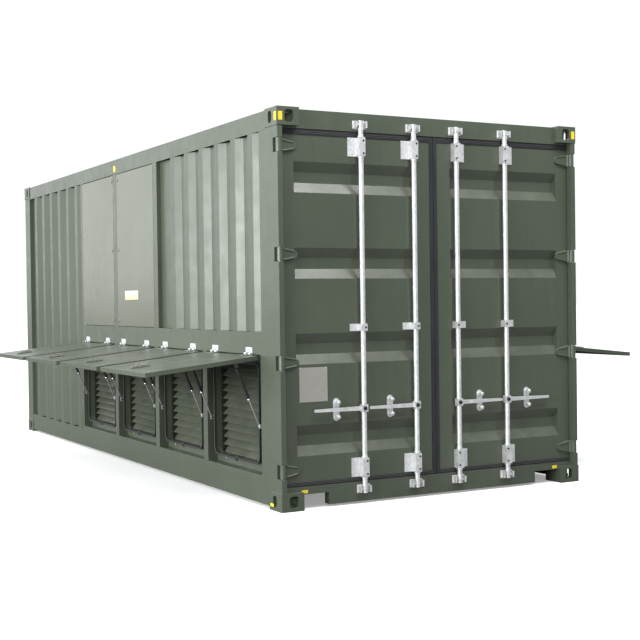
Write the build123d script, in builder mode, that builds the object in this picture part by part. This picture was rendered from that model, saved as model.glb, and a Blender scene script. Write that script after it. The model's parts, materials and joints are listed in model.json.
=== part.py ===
"""Generator load bank in a 20 ft container: intake flaps low on both sides, outlet doors high on both sides.

Millimetres, +Z up. The origin is the bottom centre of the container and the cargo doors face -Y.
"""
from build123d import *
from math import cos, hypot, radians, sin
import os

# Container envelope and corner castings
length = 6058
width = 2438
height = 2591
casting_x = 162
casting_y = 178
casting_z = 118
casting_wall = 28.6
casting_inner_wall = 15
aperture_from_side = 89.5
aperture_from_end = 102.5
aperture_long = 124
aperture_short = 63.5
aperture_tall = 79.5
side_aperture_width = 51
end_aperture_width = 64
aperture_corner = 20

# Posts, rails, header and sill
post_inset = 4
post_face = 36
post_leg = 94
post_leg_depth = 61
rear_post_width = 100
tube_wall = 6
rail_inset = 6
rail_width = 60
top_rail_height = 123
bottom_rail_bottom = 20
bottom_rail_top = 181
header_inset = 44
header_depth = 60
sill_bottom = 17
sill_top = 147
sill_notch_width = 207
sill_notch_top = 97

# Side sheets and their corrugation
sheet = 3
plate = 4
crest_width = 72
slope_width = 68
recess_width = 70
recess_depth = 36
strip_width = 101
bay_from_strip = 1865
crest_before_bay = 339
crest_after_bay = 147
rear_wall_crests = 7
end_wall_inset = 19

# Roof sheet
roof_drop = 26
roof_recess_depth = 18
roof_pitch = 209
roof_crest = 91

# Intake openings and their flaps
intake_pitch = 970
intake_from_strip = 464
intake_count = 4
intake_width = 892
intake_bottom = 205
intake_top = 1000
intake_band_top = 1150
recess_box_depth = 75
collar_width = 735
collar_bottom = 270
collar_top = 930
collar_radius = 50
collar_wall = 4
sleeve_depth = 70
seal_lip = 8
seal_grip = 10
seal_nose = 4
louvre_count = 12
louvre_chord = 74
louvre_tilt = 45
louvre_thickness = 3
louvre_tie = 8
louvre_tie_width = 4

# Flap, hinge and latch
hinge_proud = 7
hinge_above_opening = 3
flap_droop = 6
flap_gap_side = 6
flap_gap_top = 5
flap_gap_bottom = 5
flap_offset = 9
flap_depth = 29
landing_height = 21
landing_width = 28
seal_squeeze = 0.5
flap_hinge_offset = 280
flap_hinge_length = 100
knuckle_radius = 9
flap_pin_radius = 5
leaf_length = 43
leaf_thickness = 4
fixed_leaf_thickness = 6
latch_from_edge = 130
latch_base_length = 130
latch_base_width = 34
latch_base_height = 5
latch_handle_length = 124
latch_handle_width = 22
latch_handle_height = 9
latch_shaft_radius = 7
latch_cam_length = 42
latch_cam_width = 22
latch_cam_thickness = 6
latch_grip_inset = 8

# Gas struts
strut_from_jamb = 50
strut_top_along = 151
strut_top_drop = 58
strut_foot_drop = 480
strut_foot_inset = 23
strut_foot_base = (30, 50)
strut_foot_half = 14
strut_foot_nose = 6
strut_cylinder_radius = 11
strut_cylinder_length = 248
strut_rod_radius = 5
strut_rod_inside = 40
strut_ball_radius = 9
strut_eye_width = 10
strut_ear_half = 12

# Cargo doors, their hinges, lock rods and fittings
door_front_inset = 54
door_thickness = 55
door_edge_gap = 5
door_above_sill = 31
door_below_header = 38
gasket_half_gap = 1.5
gasket_half_width = 30
gasket_depth = 30
gasket_inset = 5
gasket_clearance = 2
hinge_stile = 99
centre_stile = 110
top_member_height = 133
bottom_member_height = 124
door_recess_half = 35
door_slope = 65
door_recess_steps = (140, 557, 556, 594)
door_hinge_count = 4
door_hinge_above_edge = 77
door_hinge_below_edge = 76
door_hinge_height = 88
door_hinge_slot = 65
door_pin_from_side = 24
door_pin_from_end = 24
door_pin_radius = 8
door_barrel_radius = 20
door_blade_reach = 135
door_blade_tip_height = 52
door_blade_taper = 20
door_blade_thickness = 12
door_blade_start = 14
door_neck_start = 24
door_neck_front = 6
rod_positions = (175, 590)
rod_from_end = 21
rod_radius = 17
rod_past_keeper = 26
cam_length = 30
cam_radius = 19
cam_thickness = 12
keeper_below_sill_top = 47
keeper_above_header = 45
keeper_plate_half = 50
keeper_plate_thickness = 3
keeper_plate_height = 56
keeper_lug_inside = 34
keeper_lug_thickness = 9
keeper_lug_inset = 6
bearing_above_edge = 2
bearing_below_edge = 1
bearing_length_low = 126
bearing_length_high = 124
bearing_middle = (1147, 1194)
bearing_half_width = 24
bearing_plate_width = 108
bearing_plate = 5
bearing_cover = 3
handle_height = 635
handle_length = 372
handle_thickness = 12
handle_root = 30
handle_tip = 18
hub_width = 46
hub_height = 50
hub_depth = 34
catch_from_rod = 195
catch_length = 150
catch_width = 45
catch_plate = 5
catch_boss_radius = 15
catch_boss_offset = 48
catch_boss_height = 38
data_plate_from_edge = 119
data_plate_width = 207
data_plate_levels = (693, 918)
data_plate_thickness = 2

# Air outlet doors
outlet_head_gap = 3
outlet_margin_front = 82
outlet_near_width = 881
outlet_mullion = 84
outlet_far_width = 877
outlet_margin_rear = 45
outlet_gap = 4
outlet_depth = 30
outlet_seat_gap = 6
outlet_frame_depth = 45
outlet_lip = 20
outlet_pin_radius = 5
outlet_pin_length = 22
outlet_pin_from_edge = 12
outlet_pin_from_face = 10
outlet_boss = 24
outlet_lock_radius = 13
outlet_lock_from_foot = 51
outlet_lock_from_head = 52
outlet_lock_middle = 1807
outlet_lock_from_edge = 30

# Fan deck, fans, resistor banks, cabinet and floor
deck_thickness = 6
fan_radius = 420
fan_tip_gap = 10
shroud_height = 130
hub_radius = 90
hub_thick = 70
hub_lift = 15
blade_count = 8
blade_chord = 120
blade_tilt = 28
blade_thick = 6
blade_root = 10
shaft_radius = 19
motor_radius = 110
motor_height = 210
beam_height = 50
beam_width = 60
beam_gap = 60
bank_length = 760
bank_width = 1500
bank_bottom = 1370
bank_height = 820
bank_plate = 6
bank_foot = 40
element_radius = 8
element_rows = 6
element_columns = 12
cabinet_width = 1100
cabinet_depth = 520
cabinet_height = 1850
cabinet_from_end = 469
cabinet_leaf = 18
cabinet_leaf_gap = 3
cabinet_plinth = 100
cabinet_plinth_gap = 5
cabinet_grip_from_middle = 40
cabinet_grip_width = 24
cabinet_grip_height = 180
cabinet_grip_depth = 22
cabinet_lamp_count = 6
cabinet_lamp_pitch = 157
cabinet_lamp_level = 1480
cabinet_lamp_radius = 24
cabinet_lamp_depth = 12
floor_thickness = 24
cross_member_height = 118
cross_member_width = 45
cross_member_count = 14

# Fits
running_fit = 0.05
face_gap = 0.3

# Derived places
half_length = length / 2
half_width = width / 2
side_face = half_width - rail_inset
post_outer = half_width - post_inset
post_inner = post_outer - post_face
post_end = half_length - casting_y
rail_top = height - rail_inset
rail_bottom = rail_top - top_rail_height
strip_end = post_end - strip_width
bay_front = strip_end - bay_from_strip
outlet_bottom = intake_band_top
outlet_top = rail_bottom - outlet_head_gap
outlet_near = (outlet_margin_front - bay_front, outlet_margin_front - bay_front + outlet_near_width)
outlet_far = (outlet_near[1] + outlet_mullion, outlet_near[1] + outlet_mullion + outlet_far_width)
bay_rear = outlet_far[1] + outlet_margin_rear
outlet_lock_heights = (outlet_bottom + outlet_lock_from_foot, outlet_lock_middle,
                       outlet_top - outlet_lock_from_head)
door_front = half_length - door_front_inset
door_back = door_front - door_thickness
door_edge = post_inner - door_edge_gap
door_bottom = sill_top + door_above_sill
door_top = rail_bottom - door_below_header
top_member_bottom = door_top - top_member_height
bottom_member_top = door_bottom + bottom_member_height
first_hinge = door_bottom + door_hinge_above_edge
hinge_step = (door_top - door_hinge_below_edge - first_hinge) / (door_hinge_count - 1)
door_hinge_heights = [first_hinge + hinge_step * i for i in range(door_hinge_count)]
door_pin = (half_width - door_pin_from_side, -(half_length - door_pin_from_end))
header_front = half_length - header_inset
header_back = header_front - header_depth
rod_y = -(half_length - rod_from_end)
keeper_heights = (sill_top - keeper_below_sill_top, rail_bottom + keeper_above_header)
rod_bottom = keeper_heights[0] - rod_past_keeper
rod_top = keeper_heights[1] + rod_past_keeper
low_bearing = door_bottom + bearing_above_edge
high_bearing = door_top - bearing_below_edge
bearing_ranges = ((low_bearing, low_bearing + bearing_length_low), bearing_middle,
                  (high_bearing - bearing_length_high, high_bearing))
hinge_x = half_width + hinge_proud
hinge_z = intake_top + hinge_above_opening
flap_width = intake_width - 2 * flap_gap_side
flap_start = flap_gap_top + hinge_above_opening
flap_end = hinge_z - intake_bottom - flap_gap_bottom
seal_front = hinge_x - flap_offset - landing_height - seal_squeeze
collar_front = seal_front - seal_nose
collar_height = collar_top - collar_bottom
collar_middle = (collar_top + collar_bottom) / 2
liner_back = side_face - recess_box_depth
intake_centres = [intake_from_strip - strip_end + intake_pitch * i for i in range(intake_count)]
cabinet_front = half_length - cabinet_from_end
strut_lateral = intake_width / 2 - strut_from_jamb
deck_top = outlet_bottom + deck_thickness
frame_inner = side_face - outlet_frame_depth
outlet_seat = side_face - outlet_depth - outlet_seat_gap


def block(x_limits, y_limits, z_limits, mode=Mode.ADD):
    """Box between two limits along each axis of the active plane."""
    limits = (x_limits, y_limits, z_limits)
    centre = [(low + high) / 2 for low, high in limits]
    size = [abs(high - low) for low, high in limits]
    with Locations(tuple(centre)):
        Box(*size, mode=mode)


def shaft(centre, radius, size, turn=(0, 0, 0), mode=Mode.ADD):
    """Cylinder about a point: turn (90, 0, 0) lays it along Y and (0, 90, 0) along X."""
    with Locations(Location(centre, turn)):
        Cylinder(radius, size, mode=mode)


def export_node(name, *builders):
    """Write one node: the solids of its builders, kept apart."""
    solids = [solid for builder in builders for solid in builder.part.solids()]
    node = Compound(solids)
    node.label = name
    export_step(node, f"parts/{name}.step")


def sheet_outline(start, end, crests, pitch_crest, pitch_slope, depth, thickness):
    """Corner points (along, outward) of a folded sheet whose crests stand at depth 0."""
    front = [(start, -depth)]
    for centre in crests:
        foot = pitch_crest / 2 + pitch_slope
        top = pitch_crest / 2
        front += [(centre - foot, -depth), (centre - top, 0), (centre + top, 0), (centre + foot, -depth)]
    front.append((end, -depth))
    back = [(along, out - thickness) for along, out in reversed(front)]
    return front + back


# ---------------------------------------------------------------- frame
def corner_castings():
    with BuildPart() as castings:
        block((half_width - casting_x, half_width), (post_end, half_length), (height - casting_z, height))
        block((half_width - casting_x + casting_inner_wall, half_width - casting_wall),
              (post_end + casting_inner_wall, half_length - casting_wall),
              (height - casting_z + casting_inner_wall, height - casting_wall), Mode.SUBTRACT)
        aperture_x = half_width - aperture_from_side
        aperture_y = half_length - aperture_from_end
        aperture_z = height - casting_z / 2
        with BuildSketch(Plane.XY.offset(height)):
            with Locations((aperture_x, aperture_y)):
                SlotOverall(aperture_long, aperture_short, rotation=90)
        extrude(amount=-(casting_wall + 1), mode=Mode.SUBTRACT)
        with BuildSketch(Plane.YZ.offset(half_width)):
            with Locations((aperture_y, aperture_z)):
                SlotOverall(aperture_tall, side_aperture_width, rotation=90)
        extrude(amount=-(casting_wall + 1), mode=Mode.SUBTRACT)
        with BuildSketch(Plane.XZ.offset(-half_length)):
            with Locations((aperture_x, aperture_z)):
                RectangleRounded(end_aperture_width, aperture_tall, aperture_corner)
        extrude(amount=casting_wall + 1, mode=Mode.SUBTRACT)
        mirror(about=Plane.YZ)
        mirror(about=Plane.XZ)
        mirror(about=Plane.XY.offset(height / 2))
    return castings


def door_posts():
    """Front posts: an outer bar with hinge slots and an inner leg that the doors close against."""
    front = -(half_length - post_inset)
    levels = (casting_z, height - casting_z)
    with BuildPart() as posts:
        block((post_inner, post_outer), (front, -post_end), levels)
        block((post_inner - post_leg, post_inner), (-post_end - post_leg_depth, -post_end), levels)
        for level in door_hinge_heights:
            slot = door_hinge_height / 2 + 2
            block((post_inner - 1, post_outer + 1), (front - 1, front + door_hinge_slot),
                  (level - slot, level + slot), Mode.SUBTRACT)
        mirror(about=Plane.YZ)
    return posts


def rear_posts():
    depth = casting_y - post_inset
    with BuildPart() as posts:
        with BuildSketch(Plane.XY.offset(casting_z)):
            with Locations((post_outer - rear_post_width / 2, post_end + depth / 2)):
                Rectangle(rear_post_width, depth)
                Rectangle(rear_post_width - 2 * tube_wall, depth - 2 * tube_wall, mode=Mode.SUBTRACT)
        extrude(amount=height - 2 * casting_z)
        mirror(about=Plane.YZ)
    return posts


def top_rails():
    with BuildPart() as rails:
        with BuildSketch(Plane.XZ.offset(-post_end)):
            with Locations((side_face - rail_width / 2, (rail_top + rail_bottom) / 2)):
                Rectangle(rail_width, top_rail_height)
                Rectangle(rail_width - 2 * plate, top_rail_height - 2 * plate, mode=Mode.SUBTRACT)
        extrude(amount=2 * post_end)
        mirror(about=Plane.YZ)
    return rails


def bottom_rails():
    """Channels with the web outside and flanges turned in."""
    with BuildPart() as rails:
        inside = side_face - rail_width
        block((inside, side_face), (-post_end, post_end), (bottom_rail_bottom, bottom_rail_top))
        block((inside - 1, side_face - tube_wall), (-post_end - 1, post_end + 1),
              (bottom_rail_bottom + tube_wall, bottom_rail_top - tube_wall), Mode.SUBTRACT)
        mirror(about=Plane.YZ)
    return rails


def cross_beam(front, back, low, high, casting_side, reach):
    """Beam between two castings with a lip that reaches the posts past them."""
    inner = half_width - casting_x
    with BuildPart() as beam:
        block((-inner, inner), (front, back), (low, high))
        if casting_side > 0:
            block((-reach, reach), (front, back), (low, height - casting_z))
        else:
            block((-reach, reach), (front, back), (casting_z, high))
        hollow = (low + tube_wall, high - tube_wall)
        block((-inner - 1, inner + 1), (front + tube_wall, back - tube_wall), hollow, Mode.SUBTRACT)
    return beam


def door_sill():
    """Sill with a notch beside each bottom casting."""
    inner = half_width - casting_x
    front = -header_front
    back = -header_back
    with BuildPart() as sill:
        block((-inner, inner), (front, back), (sill_bottom, sill_top))
        block((-post_inner, post_inner), (front, back), (casting_z, sill_top))
        for side in (-1, 1):
            edge = side * (inner + 1)
            stop = side * (inner - sill_notch_width)
            block((edge, stop), (front - 1, back + 1), (sill_bottom - 1, sill_notch_top), Mode.SUBTRACT)
    return sill


def container_frame():
    rear_reach = post_outer - rear_post_width
    rear_back = half_length - rail_inset
    rear_front = rear_back - header_depth
    return (door_posts(), rear_posts(), top_rails(), bottom_rails(), door_sill(),
            cross_beam(-header_front, -header_back, rail_bottom, rail_top, 1, post_inner),
            cross_beam(rear_front, rear_back, rail_bottom, rail_top, 1, rear_reach),
            cross_beam(rear_front, rear_back, sill_bottom, sill_top, -1, rear_reach))


# ---------------------------------------------------------------- skins
def crest_places(first, step, start, end):
    """Crest centres from the first one on, as far as a whole crest and its slopes fit."""
    reach = crest_width / 2 + slope_width
    places = []
    place = first
    while start < place - reach and place + reach < end:
        places.append(place)
        place += step
    return sorted(places)


def side_sheet(start, end, crests, bottom):
    """Vertical corrugated sheets on both sides between two stations."""
    outline = sheet_outline(start, end, crests, crest_width, slope_width, recess_depth, sheet)
    with BuildPart() as panel:
        with BuildSketch(Plane.XY.offset(bottom)):
            with BuildLine():
                Polyline([(side_face + out, along) for along, out in outline], close=True)
            make_face()
        extrude(amount=rail_bottom - bottom)
        mirror(about=Plane.YZ)
    return panel


def post_strip():
    """Flat strip beside each front post, folded in at its free edge."""
    with BuildPart() as strip:
        block((side_face - plate, side_face), (-post_end, -strip_end), (bottom_rail_top, rail_bottom))
        block((side_face - recess_depth - plate, side_face), (-strip_end - plate, -strip_end),
              (bottom_rail_top, rail_bottom))
        mirror(about=Plane.YZ)
    return strip


def outlet_post(span, lips):
    """Upright of the outlet frame on both sides, with a lip towards each door beside it."""
    start, end = span
    with BuildPart() as post:
        block((frame_inner, side_face), span, (outlet_bottom, rail_bottom))
        block((frame_inner, outlet_seat), (start - lips[0], end + lips[1]), (outlet_bottom, rail_bottom))
        mirror(about=Plane.YZ)
    return post


def outlet_bars(span):
    """Head bar and foot bar between two uprights, with the lips that a door closes against."""
    inside = (span[0] + outlet_lip, span[1] - outlet_lip)
    with BuildPart() as bars:
        block((frame_inner, outlet_seat), inside, (outlet_top - outlet_lip, rail_bottom))
        block((outlet_seat, side_face), span, (outlet_top, rail_bottom))
        block((frame_inner, outlet_seat), inside, (outlet_bottom, outlet_bottom + outlet_lip))
        mirror(about=Plane.YZ)
    return bars


def outlet_frame():
    """Welded frame round the two outlet doors of each side."""
    return (outlet_post((-bay_front, outlet_near[0]), (0, outlet_lip)),
            outlet_post((outlet_near[1], outlet_far[0]), (outlet_lip, outlet_lip)),
            outlet_post((outlet_far[1], bay_rear), (outlet_lip, 0)),
            outlet_bars(outlet_near), outlet_bars(outlet_far))


def rear_wall():
    pitch = crest_width + 2 * slope_width + recess_width
    reach = post_outer - rear_post_width
    crests = [pitch * (i - (rear_wall_crests - 1) / 2) for i in range(rear_wall_crests)]
    outline = sheet_outline(-reach, reach, crests, crest_width, slope_width, recess_depth, sheet)
    with BuildPart() as wall:
        with BuildSketch(Plane.XY.offset(sill_top)):
            with BuildLine():
                Polyline([(along, half_length - end_wall_inset + out) for along, out in outline], close=True)
            make_face()
        extrude(amount=rail_bottom - sill_top)
    return wall


def wall_panels():
    pitch = crest_width + 2 * slope_width + recess_width
    front_crests = crest_places(-bay_front - crest_before_bay, -pitch, -strip_end, -bay_front)
    rear_crests = crest_places(bay_rear + crest_after_bay, pitch, bay_rear, post_end)
    return (side_sheet(-strip_end, -bay_front, front_crests, intake_band_top),
            side_sheet(bay_rear, post_end, rear_crests, bottom_rail_top),
            post_strip(), *outlet_frame(), rear_wall())


def roof_panel():
    """Roof sheet with shallow pressed troughs across it."""
    span = header_back
    slope = (roof_pitch - roof_crest) / 3
    count = int(2 * span / roof_pitch)
    crests = [(i - (count - 1) / 2) * roof_pitch for i in range(count)]
    outline = sheet_outline(-span, span, crests, roof_crest, slope, roof_recess_depth, sheet)
    top = height - roof_drop
    reach = side_face - rail_width
    with BuildPart() as roof:
        with BuildSketch(Plane.YZ.offset(-reach)):
            with BuildLine():
                Polyline([(along, top + out) for along, out in outline], close=True)
            make_face()
        extrude(amount=2 * reach)
        for side in (-1, 1):
            for end in (-1, 1):
                corner = (side * (reach + half_width - casting_x) / 2, end * (span + post_end) / 2, top)
                with Locations(corner):
                    Box(reach - half_width + casting_x, span - post_end, top_rail_height, mode=Mode.SUBTRACT)
    return roof


def floor_base():
    """Floor plate on box cross members between the bottom rails."""
    reach = side_face - rail_width
    span = header_back
    rear = half_length - rail_inset - header_depth
    levels = (sill_top, sill_top + floor_thickness)
    front_reach = post_inner - post_leg
    rear_reach = post_outer - rear_post_width
    with BuildPart() as floor:
        block((-reach, reach), (-post_end, post_end), levels)
        block((-front_reach, front_reach), (-span, -post_end), levels)
        block((-rear_reach, rear_reach), (post_end, rear), levels)
    step = (rear + span) / (cross_member_count + 1)
    with BuildPart() as members:
        for i in range(cross_member_count):
            place = -span + step * (i + 1)
            block((-reach, reach), (place - cross_member_width / 2, place + cross_member_width / 2),
                  (sill_top - cross_member_height, sill_top))
            block((-reach - 1, reach + 1),
                  (place - cross_member_width / 2 + plate, place + cross_member_width / 2 - plate),
                  (sill_top - cross_member_height + plate, sill_top - plate), Mode.SUBTRACT)
    return floor, members


# ---------------------------------------------------------------- intakes
def intake_frames():
    """Band with the four recessed intake openings of each side."""
    with BuildPart() as frames:
        block((side_face - plate, side_face), (-strip_end, bay_rear), (bottom_rail_top, intake_band_top))
        for centre in intake_centres:
            edges = (centre - intake_width / 2, centre + intake_width / 2)
            block((liner_back - plate, side_face), (edges[0] - plate, edges[1] + plate),
                  (intake_bottom - plate, intake_top + plate))
            block((liner_back, side_face + 1), edges, (intake_bottom, intake_top), Mode.SUBTRACT)
            with BuildSketch(Plane.YZ.offset(liner_back)):
                with Locations((centre, collar_middle)):
                    RectangleRounded(collar_width + 2 * collar_wall, collar_height + 2 * collar_wall,
                                     collar_radius + collar_wall)
            extrude(amount=collar_front - liner_back)
            half = collar_width / 2
            block((liner_back - plate - sleeve_depth, liner_back - plate),
                  (centre - half - collar_wall, centre + half + collar_wall),
                  (collar_bottom - collar_wall, collar_top + collar_wall))
            block((liner_back - plate - sleeve_depth - 1, liner_back - plate),
                  (centre - half, centre + half), (collar_bottom, collar_top), Mode.SUBTRACT)
            with BuildSketch(Plane.YZ.offset(liner_back - plate - 1)):
                with Locations((centre, collar_middle)):
                    RectangleRounded(collar_width, collar_height, collar_radius)
            extrude(amount=collar_front - liner_back + plate + 2, mode=Mode.SUBTRACT)
        mirror(about=Plane.YZ)
    return frames


def intake_seals():
    """Rubber edge trim that grips each collar."""
    grow = collar_wall + seal_nose
    with BuildPart() as seals:
        for centre in intake_centres:
            with BuildSketch(Plane.YZ.offset(collar_front - seal_grip)):
                with Locations((centre, collar_middle)):
                    RectangleRounded(collar_width + 2 * grow, collar_height + 2 * grow, collar_radius + grow)
                    RectangleRounded(collar_width - seal_lip, collar_height - seal_lip,
                                     collar_radius - seal_lip / 2, mode=Mode.SUBTRACT)
            extrude(amount=seal_grip + seal_nose)
            with BuildSketch(Plane.YZ.offset(collar_front - seal_grip)):
                with Locations((centre, collar_middle)):
                    RectangleRounded(collar_width + 2 * collar_wall, collar_height + 2 * collar_wall,
                                     collar_radius + collar_wall)
                    RectangleRounded(collar_width, collar_height, collar_radius, mode=Mode.SUBTRACT)
            extrude(amount=seal_grip, mode=Mode.SUBTRACT)
        mirror(about=Plane.YZ)
    return seals


def intake_louvres():
    """Sloping rain blades in each sleeve, tied together by two bars at the back."""
    middle = liner_back - plate - sleeve_depth / 2
    back = liner_back - plate - sleeve_depth
    pitch = collar_height / louvre_count
    with BuildPart() as louvres:
        for centre in intake_centres:
            for i in range(louvre_count):
                level = collar_bottom + pitch * (i + 0.5)
                with Locations(Location((middle, centre, level), (0, louvre_tilt, 0))):
                    Box(louvre_chord, collar_width, louvre_thickness)
            for offset in (-collar_width / 4, collar_width / 4):
                place = centre + offset
                block((back, back + louvre_tie), (place - louvre_tie_width / 2, place + louvre_tie_width / 2),
                      (collar_bottom, collar_top))
        mirror(about=Plane.YZ)
    return louvres


# ---------------------------------------------------------------- flaps
def flap_plane(side, centre):
    """Plane on the hinge axis: X runs out along the open flap and Z is its outer normal."""
    droop = radians(flap_droop)
    return Plane(origin=(side * hinge_x, centre, hinge_z),
                 x_dir=(side * cos(droop), 0, -sin(droop)),
                 z_dir=(side * sin(droop), 0, cos(droop)))


def flap_tray(place):
    """Folded tray with a landing ring for the seal and an ear for each strut."""
    half = flap_width / 2
    top = -flap_offset
    ring_far = hinge_z - collar_bottom + landing_width / 2
    ring_near = hinge_z - collar_top - landing_width / 2
    ring_half = collar_width / 2 + landing_width / 2
    latch = flap_end - latch_from_edge
    ear = strut_lateral + strut_ball_radius + face_gap
    with BuildPart(place) as tray:
        block((flap_start, flap_end), (-half, half), (top - flap_depth, top))
        block((flap_start + sheet, flap_end - sheet), (-half + sheet, half - sheet),
              (top - flap_depth - 1, top - sheet), Mode.SUBTRACT)
        block((ring_near, ring_far), (-ring_half, ring_half), (top - landing_height, top - sheet))
        block((ring_near + landing_width, ring_far - landing_width),
              (-ring_half + landing_width, ring_half - landing_width),
              (top - landing_height - 1, top - sheet), Mode.SUBTRACT)
        for side in (-1, 1):
            inner = side * ear
            outer = side * (ear + plate)
            block((strut_top_along - strut_ear_half, strut_top_along + strut_ear_half),
                  (inner, outer), (-strut_top_drop - strut_ball_radius, top - sheet))
        shaft((latch, 0, top - sheet / 2), latch_shaft_radius + face_gap, sheet + 2, mode=Mode.SUBTRACT)
    return tray


def flap_leaves(place):
    """Moving hinge leaves, each with the middle knuckle."""
    third = flap_hinge_length / 3
    half = flap_hinge_length / 2
    relief = (-knuckle_radius - 1, knuckle_radius + 2)
    with BuildPart(place) as leaves:
        for offset in (-flap_hinge_offset, flap_hinge_offset):
            block((0, leaf_length), (offset - half, offset + half),
                  (-flap_offset, -flap_offset + leaf_thickness))
            for way in (-1, 1):
                block(relief, (offset + way * third / 2, offset + way * (half + 1)), (-flap_offset - 1, 0),
                      Mode.SUBTRACT)
            shaft((0, offset, 0), knuckle_radius, third, (90, 0, 0))
            shaft((0, offset, 0), flap_pin_radius + running_fit, third + 2, (90, 0, 0), Mode.SUBTRACT)
    return leaves


def latch_base(place):
    """Escutcheon under the latch handle."""
    latch = flap_end - latch_from_edge
    with BuildPart(place) as base:
        block((latch - latch_base_length / 2, latch + latch_base_length / 2),
              (-latch_base_width / 2, latch_base_width / 2), (-flap_offset, -flap_offset + latch_base_height))
        shaft((latch, 0, -flap_offset + latch_base_height / 2), latch_shaft_radius + face_gap,
              latch_base_height + 2, mode=Mode.SUBTRACT)
    return base


def flap_latch(place):
    """Swing handle, shaft and cam that turn together."""
    latch = flap_end - latch_from_edge
    base_top = -flap_offset + latch_base_height + face_gap
    cam_top = -flap_offset - sheet - face_gap
    with BuildPart(place) as turn:
        shaft((latch, 0, (base_top + cam_top) / 2), latch_shaft_radius, base_top - cam_top)
        block((latch - latch_handle_length / 2, latch + latch_handle_length / 2),
              (-latch_handle_width / 2, latch_handle_width / 2), (base_top, base_top + latch_handle_height))
        block((latch - latch_handle_length / 2 + latch_grip_inset, latch + latch_handle_length / 4),
              (-latch_handle_width / 4, latch_handle_width / 4),
              (base_top + latch_handle_height, base_top + 2 * latch_handle_height))
        block((latch - latch_cam_width / 2, latch + latch_cam_length),
              (-latch_cam_width / 2, latch_cam_width / 2), (cam_top - latch_cam_thickness, cam_top))
    return turn


def strut_ends(side):
    """Upper ball and lower eye of a strut at rest, as (x, z) pairs."""
    droop = radians(flap_droop)
    out = strut_top_along * cos(droop) - strut_top_drop * sin(droop)
    down = strut_top_along * sin(droop) + strut_top_drop * cos(droop)
    upper = (side * (hinge_x + out), hinge_z - down)
    lower = (side * (hinge_x - strut_foot_inset), hinge_z - strut_foot_drop)
    return upper, lower


def strut_plane(side, centre):
    """Plane at the upper ball whose Z runs down the strut to the lower eye."""
    upper, lower = strut_ends(side)
    return Plane(origin=(upper[0], centre, upper[1]), x_dir=(0, 1, 0),
                 z_dir=(lower[0] - upper[0], 0, lower[1] - upper[1]))


def strut_length():
    upper, lower = strut_ends(1)
    return hypot(lower[0] - upper[0], lower[1] - upper[1])


def strut_cylinder(side, centre):
    """Pressure tube with its ball end, bored for the rod."""
    neck = 2 * strut_ball_radius
    bore = strut_cylinder_length - strut_rod_inside - strut_travel() - strut_ball_radius / 2
    with BuildPart(strut_plane(side, centre)) as cylinder:
        Sphere(strut_ball_radius)
        shaft((0, 0, neck / 2), strut_rod_radius, neck)
        shaft((0, 0, (neck + strut_cylinder_length) / 2), strut_cylinder_radius, strut_cylinder_length - neck)
        shaft((0, 0, (bore + strut_cylinder_length + 1) / 2), strut_rod_radius + running_fit,
              strut_cylinder_length + 1 - bore, mode=Mode.SUBTRACT)
    return cylinder


def strut_travel():
    """Shortening of the strut from the open flap to the closed one."""
    closed = hypot(strut_foot_inset - strut_top_drop, strut_foot_drop - strut_top_along)
    return strut_length() - closed


def strut_rod(side, centre):
    """Piston rod with its eye at the lower pivot."""
    far = strut_length()
    near = strut_cylinder_length - strut_rod_inside
    with BuildPart(strut_plane(side, centre)) as rod:
        shaft((0, 0, (near + far) / 2), strut_rod_radius, far - near)
        shaft((0, 0, far), strut_ball_radius, strut_eye_width, (0, 90, 0))
    return rod


def strut_feet():
    """Brackets on the back of each recess, with a pivot ear just clear of each strut eye."""
    lower = strut_ends(1)[1]
    ear = strut_lateral + strut_eye_width / 2 + face_gap
    base_width, base_height = strut_foot_base
    with BuildPart() as feet:
        for centre in intake_centres:
            for side in (-1, 1):
                near = centre + side * ear
                block((liner_back, lower[0] + strut_foot_nose), (near, near + side * plate),
                      (lower[1] - strut_foot_half, lower[1] + strut_foot_half))
                block((liner_back, liner_back + plate), (near, near + side * base_width),
                      (lower[1] - base_height / 2, lower[1] + base_height / 2))
        mirror(about=Plane.YZ)
    return feet


def flap_hinges():
    """Fixed hinge leaves with the outer knuckles and the pin."""
    third = flap_hinge_length / 3
    with BuildPart() as leaves:
        for centre in intake_centres:
            for offset in (-flap_hinge_offset, flap_hinge_offset):
                place = centre + offset
                block((side_face, side_face + fixed_leaf_thickness),
                      (place - flap_hinge_length / 2, place + flap_hinge_length / 2),
                      (hinge_z, hinge_z + leaf_length))
                shaft((hinge_x, place, hinge_z), knuckle_radius, flap_hinge_length, (90, 0, 0))
                block((side_face - 1, hinge_x + knuckle_radius + 1),
                      (place - third / 2 - face_gap, place + third / 2 + face_gap),
                      (hinge_z - knuckle_radius - 1, hinge_z + knuckle_radius + 3), Mode.SUBTRACT)
                shaft((hinge_x, place, hinge_z), flap_pin_radius, flap_hinge_length, (90, 0, 0))
        mirror(about=Plane.YZ)
    return leaves


# ---------------------------------------------------------------- cargo doors
def member(x_limits, z_limits):
    """Door member: a channel folded from plate and open at the back."""
    block(x_limits, (-door_front, -door_back), z_limits)
    block((x_limits[0] + plate, x_limits[1] - plate), (-door_front + plate, -door_back + 1),
          (z_limits[0] + plate, z_limits[1] - plate), Mode.SUBTRACT)


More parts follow.
